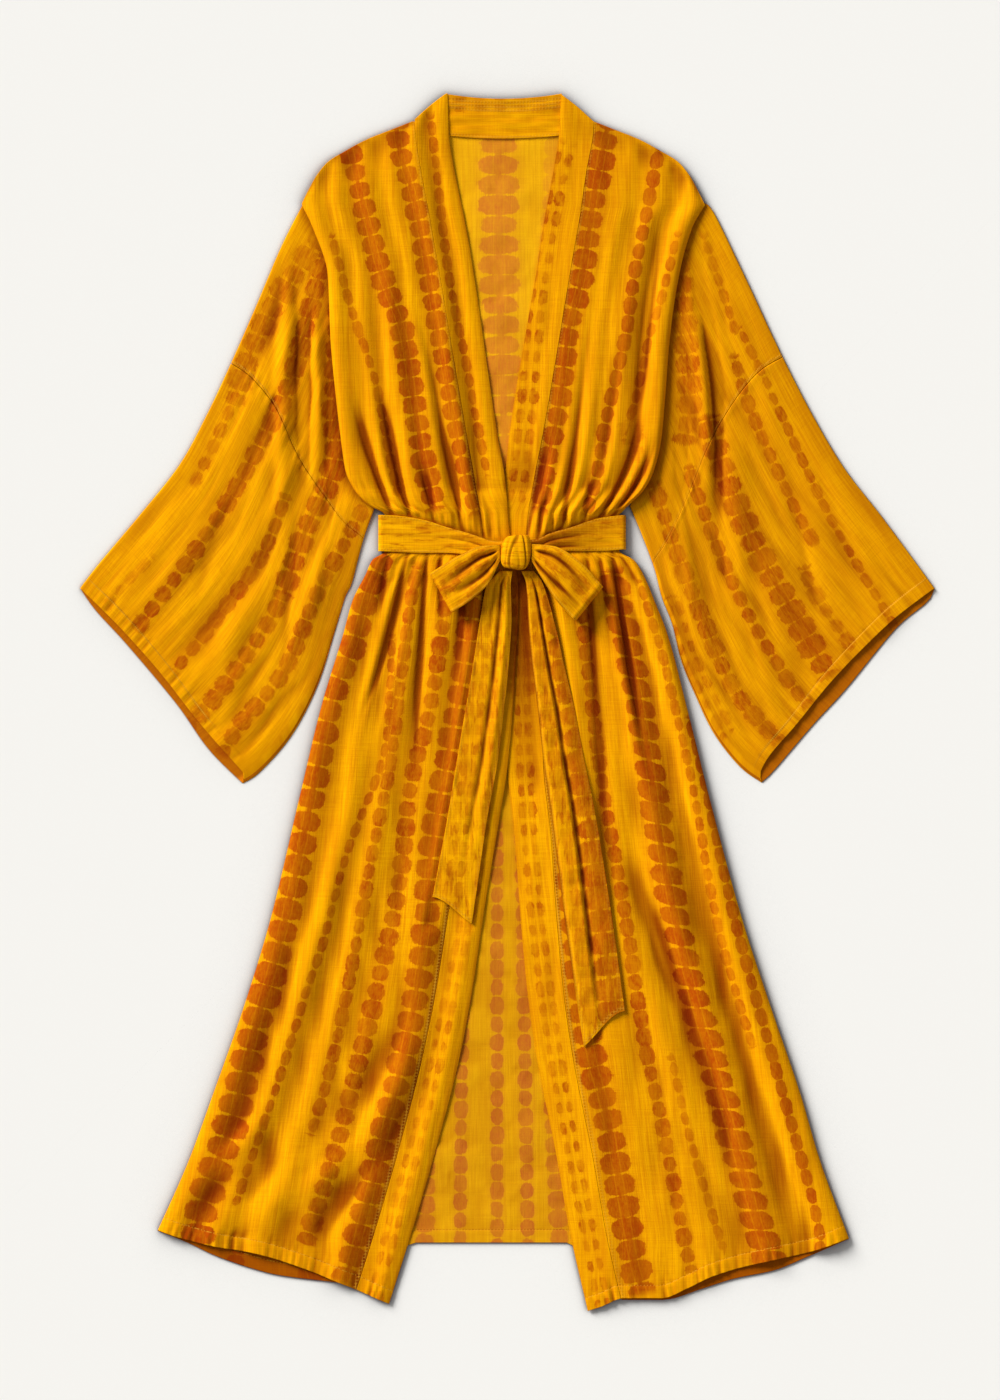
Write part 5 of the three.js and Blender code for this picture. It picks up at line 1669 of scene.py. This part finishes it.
def ring_column(across: Array, along: Array, points: Plan, height: Array, inner_points: Plan,
                inner_height: Array) -> tuple[Array, ...]:
    """Makes one column, or several, of the ring round a sleeve's tube.

    Args:
        across: shares across the sleeve.
        along: shares along it.
        points: the outer points' places out and down.
        height: their height.
        inner_points: the inner points' places out and down.
        inner_height: their height.

    Returns:
        Outer points, inner points, places for the weave and places on the plan.
    """
    weave, flat = np.stack(sleeve_lengths(across, along), axis=-1), np.broadcast_arrays(*points)
    return world(*points, height), world(*inner_points, inner_height), weave, np.stack(flat, axis=-1)


@dataclass
class Sleeve(Part):
    """A wide sleeve, laid flat: two tubes that meet at a slanted seam."""

    side: Side
    top_columns: int = 84
    under_columns: int = 30
    reach: float = 0.965
    edge_round: float = 1.6
    upper_flat: tuple[float, float] = (0.60, 0.19)
    upper_area: float = 0.052
    lower_flat: tuple[float, float] = (0.66, 0.42)
    lower_area: float = 0.14

    def __post_init__(self) -> None:
        """Fits the curves of the plan."""
        cut = SLEEVE_CUTS[self.side]
        self.outer, self.inner = Spline(cut.outer), Spline(cut.inner)
        self.armhole = Spline(cut.armhole)
        self.cuffs = {Layer.TOP: Spline(cut.cuff), Layer.UNDER: Spline(cut.cuff_under)}
        self.seam = Profile(*zip(*cut.seam))
        self.body_edge = columns_of(SIDE_SEAMS, "down", self.side.word)

    def at(self, across: Array, along: Array, layer: Layer) -> Plan:
        """Out and down of a place on the plan.

        Args:
            across: shares across, from the outer long edge.
            along: shares along, from the armhole.
            layer: which layer.

        Returns:
            The places out and down.
        """
        reach = self.reach if layer is Layer.TOP else 1.0
        outer, inner = self.outer.at(along), self.inner.at(along * reach)
        arm, cuff = self.armhole.at(across), self.cuffs[layer].at(across)
        ends = [self.outer.at(0.0), self.inner.at(0.0), self.outer.at(1.0), self.inner.at(reach)]
        blended = []
        for axis in (0, 1):
            near = mix(ends[0][axis], ends[1][axis], across)
            far = mix(ends[2][axis], ends[3][axis], across)
            blended.append(mix(outer[axis], inner[axis], across) + mix(arm[axis], cuff[axis], along)
                           - mix(near, far, along))
        return blended[0], blended[1]

    def top(self, out: Array, down: Array) -> Array:
        """Height of the upper layer's outside, well inside the edges.

        Args:
            out: places across.
            down: places down.

        Returns:
            That height at each place.
        """
        from_body = self.side.value * (out - self.body_edge(np.maximum(117, down)))
        clear = np.where(down < ARMPIT, ease(2, 20, from_body), 1.0)
        rise = 1.2 + fold_rise(SLEEVE_FOLDS[self.side], out, down)
        rise = rise + fold_rise(FINE_SLEEVE_FOLDS[self.side], out, down)
        return 2 * CLOTH + SEAM_GAP + clear * np.maximum(0, rise)

    def put(self, across: Array, along: Array, layer: Layer, inset: float, edge: float) -> Plan:
        """Places on the plan, held back from the long edges.

        Args:
            across: shares across.
            along: shares along.
            layer: which layer.
            inset: the distance of the inner face from the outer one.
            edge: the distance that the rounded edge takes up.

        Returns:
            The places out and down.
        """
        start, end = self.at(0 * along, along, layer), self.at(0 * along + 1, along, layer)
        margin = (inset + edge) / np.hypot(end[0] - start[0], end[1] - start[1])
        return self.at(mix(margin, 1 - margin, across), along, layer)

    def round_edge(self, at: float, angles: Sequence[float], along_of: Callable,
                   rows: Array) -> list[tuple[Array, ...]]:
        """Makes the columns of a rounded long edge.

        Args:
            at: share across where it lies.
            angles: the columns' turns round the edge, in degrees.
            along_of: share along the sleeve for a share across and a row.
            rows: shares from the tube's upper to its lower end.

        Returns:
            The columns.
        """
        across = np.full((1, 1), at)
        along = along_of(across, rows)
        columns = []
        for angle in angles:
            sine, cosine = math.sin(math.radians(angle)), math.cos(math.radians(angle))
            held = self.edge_round * (1 - cosine)
            places = []
            for inset in (0, SHELL):
                layers = [self.put(across, along, layer, inset, held) for layer in Layer]
                places.append(tuple(mix(*pair, 0.5 - 0.5 * sine) for pair in zip(*layers)))
            columns.append(ring_column(
                across + 0 * along, along, places[0], HALF_TUBE + HALF_TUBE * sine + 0 * along,
                places[1], HALF_TUBE + (HALF_TUBE - SHELL) * sine + 0 * along,
            ))
        return columns

    def roof(self, points: Plan, across: Array, along: Array, cuffed: bool) -> tuple[Array, Array]:
        """Works out the upper layer's outside.

        Args:
            points: its places out and down.
            across: shares across.
            along: shares along.
            cuffed: whether it ends in the turned cuff.

        Returns:
            Its height and the strength of its stitch lines.
        """
        fade = ease(0, 0.08, across) * (1 - ease(0.92, 1, across))

        def field(out: Array, down: Array) -> Array:
            """The upper face."""
            return mix(2 * HALF_TUBE, self.top(out, down), fade)

        steep = upright(field, *points)
        from_seam = (along - self.seam(across)) * self.outer.length
        from_cuff = (1 - along) * self.outer.length
        puckers = 0.5 * waves_across(across + 0 * along, 50 + self.side.value, 16, 34)
        wide, long = sleeve_lengths(across, along)
        fine = 0.6 * ripple(wide, 0.3 * long, 52 + self.side.value, 62)
        fine = fine + 0.22 * ripple(wide, 0.22 * long, 57 + self.side.value, 22)
        fine = fine + puckers * (bell(from_seam, 9) + bell(from_cuff - 8, 9) * cuffed)
        stitched = 0.8 * bell(np.abs(from_seam) - 2.6, 0.7)
        turned = 0.0 * along
        if cuffed:
            stitched = np.maximum(stitched, bell(from_cuff - HEM_TURN, 0.5))
            turned = ease(HEM_TURN + 0.6, HEM_TURN - 0.6, from_cuff)
        height = field(*points) + (steep - 1) * CLOTH + fine * fade + 0.4 * turned * fade
        height = height - 0.35 * stitched * fade + 0.5 * bell(from_seam - 3, 3) * fade
        return np.maximum(height, 2 * HALF_TUBE - 0.2), stitched

    def tube(self, name: str, node: str, rows: Array, along_of: Callable, cuffed: bool) -> Body:
        """Builds one tube.

        Args:
            name: the piece's name.
            node: the solid that it stands for.
            rows: shares from its upper to its lower end.
            along_of: share along the sleeve for a share across and a row.
            cuffed: whether it ends in the turned cuff.

        Returns:
            The piece.
        """
        rows = rows[:, None]
        edge_turns = (-50, 0, 50)
        ring = self.round_edge(0.0, edge_turns, along_of, rows)
        across = np.linspace(0, 1, self.top_columns)[None, :]
        along = along_of(across, rows)
        points = self.put(across, along, Layer.TOP, 0, self.edge_round)
        roof, stitched = self.roof(points, across, along, cuffed)
        inner = self.put(across, along, Layer.TOP, SHELL, self.edge_round)
        ring.append(ring_column(across, along, points, roof, inner, roof - SHELL))
        ring += self.round_edge(1.0, edge_turns[::-1], along_of, rows)
        across = np.linspace(1, 0, self.under_columns)[None, :]
        along = along_of(across, rows)
        points, inner = (self.put(across, along, Layer.UNDER, inset, self.edge_round) for inset in (0, SHELL))
        ring.append(ring_column(across, along, points, 0 * along, inner, SHELL + 0 * along))
        outer, inside, weave, flat = (np.concatenate(grids, axis=1) for grids in zip(*ring))
        weave, (out, down) = np.moveaxis(weave, -1, 0), np.moveaxis(flat, -1, 0)
        top_columns = slice(len(edge_turns), len(edge_turns) + self.top_columns)
        hollow, seam = np.zeros(out.shape), np.zeros(out.shape)
        # Painted shade: in the upper layer's hollows, beside the body's edge where it shades the sleeve, and
        # a little over all, more on the right.
        hollow[:, top_columns] = painted_shade_in_hollows(roof, 14, 2.2)
        seam[:, top_columns] = stitched
        from_body = self.side.value * (out - self.body_edge(np.maximum(117, down)))
        beside = bell(np.maximum(from_body, 0), 9) * ease(ARMPIT + 20, ARMPIT - 20, down)
        hollow = mix(SLEEVE_SHADE[self.side], 1, np.maximum(hollow, 0.75 * beside))
        printed = Print(SLEEVE_ROWS[self.side], 20 + 5 * self.side.value)
        values = printed.values(out, down, hollow, seam)
        return self.wardrobe.shell(name, node, outer, inside, weave, values, (FACE, SHADED_INSIDE), wrapped=True)

    def build(self) -> None:
        """Builds both tubes."""
        word = self.side.word
        length = self.outer.length
        arm_gap, gap = SLEEVE_SEAM_GAP / length, SEAM_GAP / length
        cuff = 0.7 * length
        edge = np.array([0, 0.004, 0.012])
        upper_rows = np.concatenate([edge, np.linspace(0.025, 0.975, 66), 1 - edge[::-1]])
        upper = self.tube(f"sleeve_top_{word}", f"sleeve_upper_{word}", upper_rows,
                          lambda across, row: mix(arm_gap, self.seam(across) - gap, row), False)
        hem = 1 - np.array(HEM_STEPS) / cuff
        lower_rows = np.concatenate([edge, np.linspace(0.02, 1 - 17 / cuff, 76), hem])
        lower = self.tube(f"sleeve_end_{word}", f"sleeve_lower_{word}", lower_rows,
                          lambda across, row: mix(self.seam(across) + gap, 1, row), True)


BELT_SIDES = {LEFT: -131, RIGHT: 129}


@dataclass
class WaistBelt(Part):
    """One stretch of the belt, from the middle of the back round the side to the knot."""

    side: Side
    middle: float = 14.5
    flat: tuple[float, float] = (0.25, 0.038)

    def build(self) -> None:
        sign = self.side.value
        radius = (BELT_REST + BELT_CLOTH) / 2
        turn_out = BELT_SIDES[self.side] - sign * radius
        back = mix(sign * 0.2, turn_out, np.linspace(0, 1, 14))
        turns = np.linspace(-75, 75, 11)
        front = mix(turn_out, self.middle + sign * 0.2, np.linspace(0, 1, 110))
        out = np.concatenate([back, turn_out + sign * radius * np.cos(np.radians(turns)), front])[:, None]
        round_side = radius + radius * np.sin(np.radians(turns))
        height = np.concatenate([0 * back, round_side, 0 * front + 2 * radius])[:, None]
        tilt = np.radians(np.concatenate([0 * back - 90, turns, 0 * front + 90]))
        share = np.concatenate([[0, 0.012, 0.04], np.linspace(0.08, 0.92, 24), [0.96, 0.988, 1]])[None, :]
        on_front = (tilt > 1.5)[:, None]
        at = np.where(on_front, out, turn_out)
        down = mix(belt_top(at), belt_bottom(at), share)
        near = np.abs(out - self.middle)
        pleated = np.where(on_front, ease(85, 30, near) * ease(4, 24, near), 0.0)
        pleat = pleated * 1.9 * np.abs(np.sin(share * math.pi * 2.5)) ** 0.7
        wrinkle = 0.4 * np.sin(share * 13 + 1.3 * np.sin(near / 21)) * ease(80, 20, near)
        wrinkle = wrinkle + 0.14 * ripple(out * 0.3, down * 1.6, 71 + sign, 17)
        inside_edges = ease(0, 0.1, share) * ease(1, 0.9, share)
        lift = np.where(on_front, pleat + wrinkle * inside_edges * ease(0, 12, near), 0.0)
        out = out + 0 * share
        outside = world(out, down, height + lift + 0 * share)
        inward = np.stack([sign * np.cos(tilt), 0 * tilt, np.sin(tilt)], axis=-1)[:, None, :]
        # Darker towards the knot, most on the right stretch: painted shade of its pleats and folds, and
        # darker dye.
        dark = 0.75 * ease(130, 25, near) if self.side is RIGHT else 0.1 * ease(60, 20, near)
        hollow = np.clip(painted_shade_in_hollows(lift + 0 * down, 5, 1.1) + dark, 0, 1)
        seam = 0.7 * edge_stitches(share, 0.05, 0.02) + 0 * down
        values = Print(BELT_ROWS, 80).values(out, down, hollow, seam)
        piece = self.wardrobe.shell(
            f"waist_belt_{self.side.word}", f"belt_{self.side.word}", outside,
            outside + inward * -BELT_CLOTH * MM, (down, out), values, (BELT, BELT),
        )


class KnotFold(NamedTuple):
    """An upright fold of the knot: its turn in degrees, lean, depth and width."""

    turn: float
    lean: float
    depth: float
    width: float


KNOT_FOLDS = table_of(
    KnotFold, (52, 0.16, 0.20, 0.07), (84, 0.05, 0.07, 0.05), (101, -0.1, 0.16, 0.07),
    (124, -0.2, 0.06, 0.06), (158, 0.1, 0.09, 0.1), (18, 0.2, 0.09, 0.1), (230, 0.0, 0.08, 0.2),
    (310, 0.0, 0.08, 0.2),
)


@dataclass
class Knot(Part):
    """The knot: the belt wrapped over itself."""

    out: float = 13.5
    down: float = 481.5
    height: float = 18.2
    half_width: float = 16
    half_length: float = 18
    half_height: float = 8.6
    rings: int = 72
    sides: int = 110
    flat: tuple[float, float] = (0.06, 0.04)

    def build(self) -> None:
        polar = np.linspace(0.02, math.pi - 0.02, self.rings)[:, None]
        turn = np.linspace(0, 2 * math.pi, self.sides, endpoint=False)[None, :]
        girth = np.sin(polar) ** 0.42
        run = polar - math.pi / 2
        folds = 0 * polar * turn
        for fold in KNOT_FOLDS:
            line = math.radians(fold.turn) - fold.lean * run + 0.08 * np.sin(2 * run + fold.turn)
            away = np.angle(np.exp(1j * (turn - line)))
            folds = folds + fold.depth * bell(away, fold.width * (1 + 0.5 * run ** 2))
        uneven = 0.025 * np.sin(3 * turn + 2 * polar) + 0.012 * np.sin(13 * turn + 3 * polar)
        size = 1 - folds * np.sin(polar) ** 0.5 + uneven
        across, up = (np.sign(wave) * np.abs(wave) ** 0.7 for wave in (np.cos(turn), np.sin(turn)))
        out = self.out + self.half_width * girth * across * size - 1.5 * run / 1.57
        down = self.down - self.half_length * np.cos(polar) * (1 + 0.05 * np.cos(turn))
        high = self.height + self.half_height * girth * up * size
        # Painted shade in the knot's folds.
        values = Print(()).values(out, down, np.clip(folds * 4, 0, 0.7), 0 * high)
        centre = world(self.out, self.down, self.height)
        outside = world(out, down, high)
        inside = centre + (outside - centre) * 0.9
        piece = self.wardrobe.shell(
            "tied_knot", "bow_knot", outside, inside, (down, out + 2 * high), values, (BELT, BELT),
            wrapped=True,
        )


class Solid:
    """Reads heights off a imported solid, so that a finer piece lies where it does."""

    def __init__(self, node: str) -> None:
        """Keeps the solid's faces for looking up.

        Args:
            node: the solid's name.
        """
        ob = bpy.data.objects[node]
        points = [ob.matrix_world @ corner.co for corner in ob.data.vertices]
        self.tree = BVHTree.FromPolygons(points, [tuple(face.vertices) for face in ob.data.polygons])

    def heights(self, out: Array, down: Array, from_above: bool) -> Array:
        """Upper or lower faces' height at each place, filled where it misses.

        Args:
            out: places across.
            down: places down.
            from_above: whether the upper faces are wanted.

        Returns:
            The heights in millimetres.
        """
        found = np.full(out.shape, np.nan)
        way = Vector((0, 0, -1 if from_above else 1))
        spots = world(out, down, 100.0 if from_above else -100.0)
        for index in np.ndindex(out.shape):
            hit = self.tree.ray_cast(Vector(spots[index]), way)[0]
            if hit is not None:
                found[index] = hit.z / MM
        flat = found.ravel()
        rows = np.arange(flat.size)
        good = np.isfinite(flat)
        return np.interp(rows, rows[good], flat[good]).reshape(out.shape)


def between(grid: Array, rows: Array, columns: Array, share: Array, across: Array) -> Array:
    """Reads a coarse grid of heights at finer places.

    Args:
        grid: the heights.
        rows: the grid's shares along.
        columns: the grid's shares across.
        share: finer shares along.
        across: finer shares across.

    Returns:
        The heights there.
    """
    lines = np.stack([np.interp(share.ravel(), rows.ravel(), column) for column in grid.T], axis=1)
    return np.stack([np.interp(across.ravel(), columns.ravel(), line) for line in lines])


class LoopPlace(NamedTuple):
    """One row of a bow loop's plan, from the knot to its outer fold."""

    share: float
    up_out: float
    up_down: float
    low_out: float
    low_down: float


LOOP_PLANS = {
    LEFT: table_of(
        LoopPlace, (0, -3.2, 474, -3, 490), (0.3, -23, 475, -14, 513), (0.6, -46, 485, -34, 532),
        (1, -77, 504, -54, 545),
    ),
    RIGHT: table_of(
        LoopPlace, (0, 30.2, 473, 30, 491), (0.3, 52, 475, 42, 511), (0.6, 78, 489, 55, 531),
        (1, 105, 518, 76, 554),
    ),
}
LOOP_ROWS = {
    LEFT: (single_row((444, 590), (462, 572), (488, 556), tone=0.7, half=8, worn=1.2),
           single_row((455, 612), (476, 590), (494, 566), tone=0.6, half=5, worn=1.2)),
    RIGHT: (single_row((545, 556), (570, 574), (590, 600), tone=0.6, half=7, worn=1.2),),
}


# Place across, width and height of each fold that fans out from the knot.
LOOP_CREASES = {
    LEFT: ((0.34, 0.07, -3.4), (0.66, 0.08, -2.8), (0.48, 0.1, 1.2), (0.86, 0.07, 0.8), (0.12, 0.06, 0.6)),
    RIGHT: ((0.3, 0.07, -2.8), (0.74, 0.07, -3.6), (0.88, 0.08, 1.8), (0.52, 0.1, 1.2), (0.14, 0.06, 0.6)),
}


@dataclass
class Loop(Part):
    """One loop of the bow."""

    side: Side
    turn_share: float = 0.93
    flat: tuple[float, float] = (0.165, 0.040)

    def __post_init__(self) -> None:
        """Fits the plan."""
        table = LOOP_PLANS[self.side]
        names = ("up_out", "up_down", "low_out", "low_down")
        self.edges = {name: columns_of(table, "share", name) for name in names}

    def plan(self, share: Array, across: Array) -> Plan:
        """Out and down of a place on the loop."""
        return tuple(mix(self.edges[f"up_{way}"](share), self.edges[f"low_{way}"](share), across)
                     for way in ("out", "down"))

    def creases(self, share: Array, across: Array) -> Array:
        """The folds that fan out from the knot.

        Args:
            share: shares from the knot to the outer fold.
            across: shares across.

        Returns:
            Their height at each place.
        """
        total = 0.0
        for at, wide, size in LOOP_CREASES[self.side]:
            line = at + 0.04 * np.sin(5 * share + 9 * at)
            total = total + size * bell(across - line, wide * (0.8 + 0.5 * share))
        return total * ease(0.02, 0.15, share) * (1 - 0.75 * ease(0.45, 0.98, share))

    def build(self) -> None:
        solid = Solid(f"bow_loop_{self.side.word}")
        coarse_share = np.linspace(0.02, 0.9, 9)[:, None]
        coarse_across = np.array([0.03, 0.25, 0.5, 0.75, 0.97])[None, :]
        spots = self.plan(coarse_share, coarse_across)
        across = belt_columns(34)[None, :]
        low_share = np.linspace(0, self.turn_share, 26)[:, None]
        high_share = np.linspace(self.turn_share, 0, 60)[:, None]
        turns = np.radians(np.linspace(-80, 80, 15))[:, None]
        low, high = (
            between(blurred(solid.heights(*spots, upper), 1), coarse_share, coarse_across, at, across)
            for upper, at in ((False, low_share), (True, high_share))
        )
        top_edge, bottom_edge = high[:1], low[-1:]
        middle, radius = (top_edge + bottom_edge) / 2, (top_edge - bottom_edge) / 2
        reach = 1 - self.turn_share
        share, inner_share = (
            np.concatenate([low_share, self.turn_share + long * np.cos(turns), high_share])
            for long in (reach, reach - 0.018)
        )
        height = np.concatenate([low, middle + radius * np.sin(turns), high])
        inner_height = np.concatenate([low + SHELL, middle + (radius - SHELL) * np.sin(turns), high - SHELL])
        on_top = np.concatenate([0 * low_share, ease(-0.5, 1, np.sin(turns)), 0 * high_share + 1])
        crease = self.creases(share, across) * on_top
        soft = 0.35 * ripple(share * 60, across * 40, 90 + self.side.value, 16) * on_top
        edge_drop = -0.7 * edge_stitches(across, 0, 0.03) * on_top * ease(0.05, 0.3, share)
        change = crease + soft * ease(0, 0.1, share) + edge_drop * 0.6
        out, down = self.plan(share, across)
        inner_out, inner_down = self.plan(inner_share, across)
        # Painted shade in the creases of the loop's upper layer.
        hollow = painted_shade_in_hollows(height + change, 6, 1.2) * on_top
        seam = 0.7 * edge_stitches(across, 0.045, 0.015) * (1 + 0 * share)
        values = Print(LOOP_ROWS[self.side], 84).values(out, down, hollow, seam)
        steps = np.hypot(np.diff(out[:, 20]), np.diff(down[:, 20]))
        length = np.concatenate([[0], np.cumsum(steps)])[:, None]
        outside = world(out, down, height + change)
        inside = world(inner_out, inner_down, inner_height + change)
        piece = self.wardrobe.shell(
            f"bow_half_{self.side.word}", f"bow_loop_{self.side.word}", outside, inside,
            (across * 40, length), values, (BELT, BELT),
        )


@dataclass(frozen=True)
class TailCut:
    """The plan of one hanging end of the belt: its flat size, its edges and its slanted tip."""

    flat: tuple[float, float]
    edges: tuple[SidePlace, ...]
    tip: tuple[Spot, ...]


TAIL_CUTS = {
    LEFT: TailCut(
        flat=(0.040, 0.37),
        edges=table_of(
            SidePlace, (501, -3, 10), (516, -17, 8), (546, -23, 9), (610, -33, 5), (656, -41, 0),
            (698, -48, -5), (764, -59, -17), (833, -72, -27), (873, -80, -33),
        ),
        tip=table_of(Spot, (-80, 843), (-75, 843), (-33, 871)),
    ),
    RIGHT: TailCut(
        flat=(0.046, 0.50),
        edges=table_of(
            SidePlace, (501, 19, 32), (513, 24, 41), (559, 27, 55), (603, 31, 65), (650, 37, 76),
            (698, 42, 85), (745, 49, 95), (798, 56, 104), (882, 67, 117), (963, 79, 128), (1002, 85, 134),
        ),
        tip=table_of(Spot, (85, 1000), (128, 963), (134, 963)),
    ),
}


@dataclass
class Tail(Part):
    """One hanging end of the belt."""

    side: Side
    rows: int = 170

    def relief(self, share: Array, along: Array) -> Array:
        """The lengthwise folds: a rounded ridge on the left end, a strip folded over on the right.

        Args:
            share: shares across.
            along: shares along.

        Returns:
            Their height at each place.
        """
        if self.side is LEFT:
            ridge = 2.2 * bell(share - 0.82, 0.1) * (1 - ease(0.45, 0.9, along))
            valley = -2.0 * bell(share - 0.6, 0.07) * (1 - ease(0.5, 0.95, along))
            root = -1.4 * bell(share - 0.35, 0.1) * (1 - ease(0.05, 0.3, along))
            return ridge + valley + root
        line = 0.44 + 0.05 * np.sin(4 * along)
        strip = 2.2 * ease(line + 0.015, line - 0.06, share) * (0.4 + 0.6 * ease(0, 0.1, share))
        valley = -1.2 * bell(share - line - 0.05, 0.05)
        swell = 1.2 * bell(share - 0.75, 0.16)
        return (strip + valley + swell) * (1 - 0.75 * ease(0.8, 0.97, along))

    def build(self) -> None:
        cut = TAIL_CUTS[self.side]
        left, right = sides_of(cut.edges)
        tip = columns_of(cut.tip, "out", "down")
        share = belt_columns(40)

        def flow(down: Number) -> Array:
            """Out for a place down."""
            return mix(left(down), right(down), share)

        end = PanelRows.meet(tip, flow, 900)
        along = np.concatenate([np.linspace(0, 0.965, self.rows), [0.975, 0.985, 0.993, 0.998, 1]])[:, None]
        down = mix(TAIL_TOP, end[None, :], along)
        out = mix(left(down), right(down), share[None, :])
        solid = Solid(f"belt_tail_{self.side.word}")
        coarse_rows = np.linspace(0.005, 0.99, 34)[:, None]
        coarse_share = np.array([0.05, 0.3, 0.5, 0.7, 0.95])[None, :]
        coarse_end = np.interp(coarse_share[0], share, end)[None, :]
        coarse_down = mix(TAIL_TOP, coarse_end, coarse_rows)
        coarse_out = mix(left(coarse_down), right(coarse_down), coarse_share)
        tops = blurred(solid.heights(coarse_out, coarse_down, True), 2)
        base = blurred(between(tops, coarse_rows, coarse_share, along, share), 4)
        relief = self.relief(share[None, :], along) * ease(0, 0.05, along)
        soft = 0.3 * ripple(out, down * 0.6, 110 + self.side.value, 22)
        inside_edges = ease(0, 0.08, share) * ease(1, 0.92, share)
        high = base + relief * ease(-0.02, 0.06, share) * ease(1.02, 0.94, share) + soft * inside_edges
        from_tip = end[None, :] - down
        stitched = 0.7 * edge_stitches(share, 0.05, 0.014) + 0 * down
        stitched = np.maximum(stitched, 0.6 * bell(from_tip - 3, 0.8))
        high = high - 0.2 * stitched
        printed = Print(TAIL_ROWS[self.side], 100)
        # Painted shade in the end's hollows.
        values = printed.values(out, down, painted_shade_in_hollows(high, 7, 1.0), stitched)
        word = self.side.word
        piece = self.wardrobe.shell(
            f"belt_end_{word}", f"belt_tail_{word}", world(out, down, high), world(out, down, high - SHELL),
            (out, down), values, (BELT, BELT),
        )


@dataclass
class Studio:
    """A pale surface seen from straight above, in soft light from the upper left."""

    distance: float = 6.0
    seen_height: float = 1.47
    centre: tuple[float, float] = (-0.00765, 0.00255)
    floor_half: float = 40.0

    def build(self) -> None:
        """Makes the camera, the floor and the lights."""
        camera = bpy.data.objects.new("camera", bpy.data.cameras.new("camera"))
        camera.data.sensor_fit = "VERTICAL"
        camera.data.sensor_height = 36
        camera.data.lens = 36 * self.distance / self.seen_height
        camera.data.clip_end = 60
        camera.location = (*self.centre, self.distance)
        bpy.context.scene.collection.objects.link(camera)
        bpy.context.scene.camera = camera
        self.floor()
        self.light("key", (-2.5, 2.2, 1.6), 5.4, 28, (1.0, 0.985, 0.955))
        self.light("fill", (2.4, -1.6, 3.0), 0.35, 60, (0.96, 0.98, 1.0))
        space = bpy.data.worlds.new("studio")
        space.use_nodes = True
        ground = space.node_tree.nodes["Background"]
        ground.inputs["Color"].default_value = (1.0, 0.995, 0.985, 1)
        ground.inputs["Strength"].default_value = 0.25
        bpy.context.scene.world = space
        bpy.context.scene.view_settings.view_transform = "Standard"

    def floor(self) -> None:
        """Makes the pale surface, with painted shadow that darkens it close to the garment."""
        mesh = bpy.data.meshes.new("pale_surface")
        half = self.floor_half
        corners = [(-half, -half, 0), (half, -half, 0), (half, half, 0), (-half, half, 0)]
        mesh.from_pydata(corners, [], [(0, 1, 2, 3)])
        surface = bpy.data.objects.new("pale_surface", mesh)
        surface.location.z = -0.0002
        bpy.context.scene.collection.objects.link(surface)
        paint = bpy.data.materials.new("pale_paint_with_painted_shadow")
        paint.use_nodes = True
        shader = paint.node_tree.nodes["Principled BSDF"]
        nodes = Nodes(paint.node_tree)
        # Painted shadow: the floor darkens towards a grey-blue where the garment closes it in.
        painted_contact_shadow = nodes.add("ShaderNodeAmbientOcclusion", {"Distance": 0.06}, samples=8)
        open_share = nodes.math("POWER", painted_contact_shadow.outputs["AO"], 2.6)
        painted_shadow_tint = nodes.blend(open_share, (0.16, 0.17, 0.2, 1), (0.86, 0.855, 0.835, 1))
        nodes.feed(shader, {"Base Color": painted_shadow_tint, "Roughness": 0.9, "Specular IOR Level": 0.1})
        mesh.materials.append(paint)
        surface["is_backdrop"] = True

    def light(self, name: str, place: tuple[float, ...], strength: float, spread: float,
              colour: tuple[float, ...]) -> None:
        """Adds a distant soft light that shines from a place to the garment's middle.

        Args:
            name: its name.
            place: where it shines from.
            strength: its strength.
            spread: how wide it looks from the garment, in degrees.
            colour: its colour.
        """
        lamp = bpy.data.lights.new(name, "SUN")
        lamp.angle = math.radians(spread)
        lamp.energy = strength
        lamp.color = colour
        ob = bpy.data.objects.new(name, lamp)
        ob.location = place
        ob.rotation_euler = (-Vector(place)).to_track_quat("-Z", "Y").to_euler()
        bpy.context.scene.collection.objects.link(ob)


def main() -> None:
    """Builds the studio and every piece, works out both boxes and logs the visual pieces' one."""
    logging.basicConfig(level=logging.INFO, format="%(message)s")
    Studio().build()
    wardrobe = Wardrobe()
    Back(wardrobe).build()
    FrontHalf(wardrobe, RIGHT, RIGHT_HEM).build()
    FrontHalf(wardrobe, LEFT, LEFT_HEM).build()
    NeckBand(wardrobe).build()
    for kind in (Sleeve, WaistBelt):
        for side in Side:
            kind(wardrobe, side).build()
    Knot(wardrobe).build()
    for side in Side:
        Tail(wardrobe, side).build()
        Loop(wardrobe, side).build()
    boxes = {"cad": [list(map(float, corner)) for corner in CAD_BOX],
             "visual": [list(map(float, corner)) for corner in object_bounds()]}
    log.info("box of the visual pieces: %s", boxes["visual"])


if __name__ == "__main__":
    main()
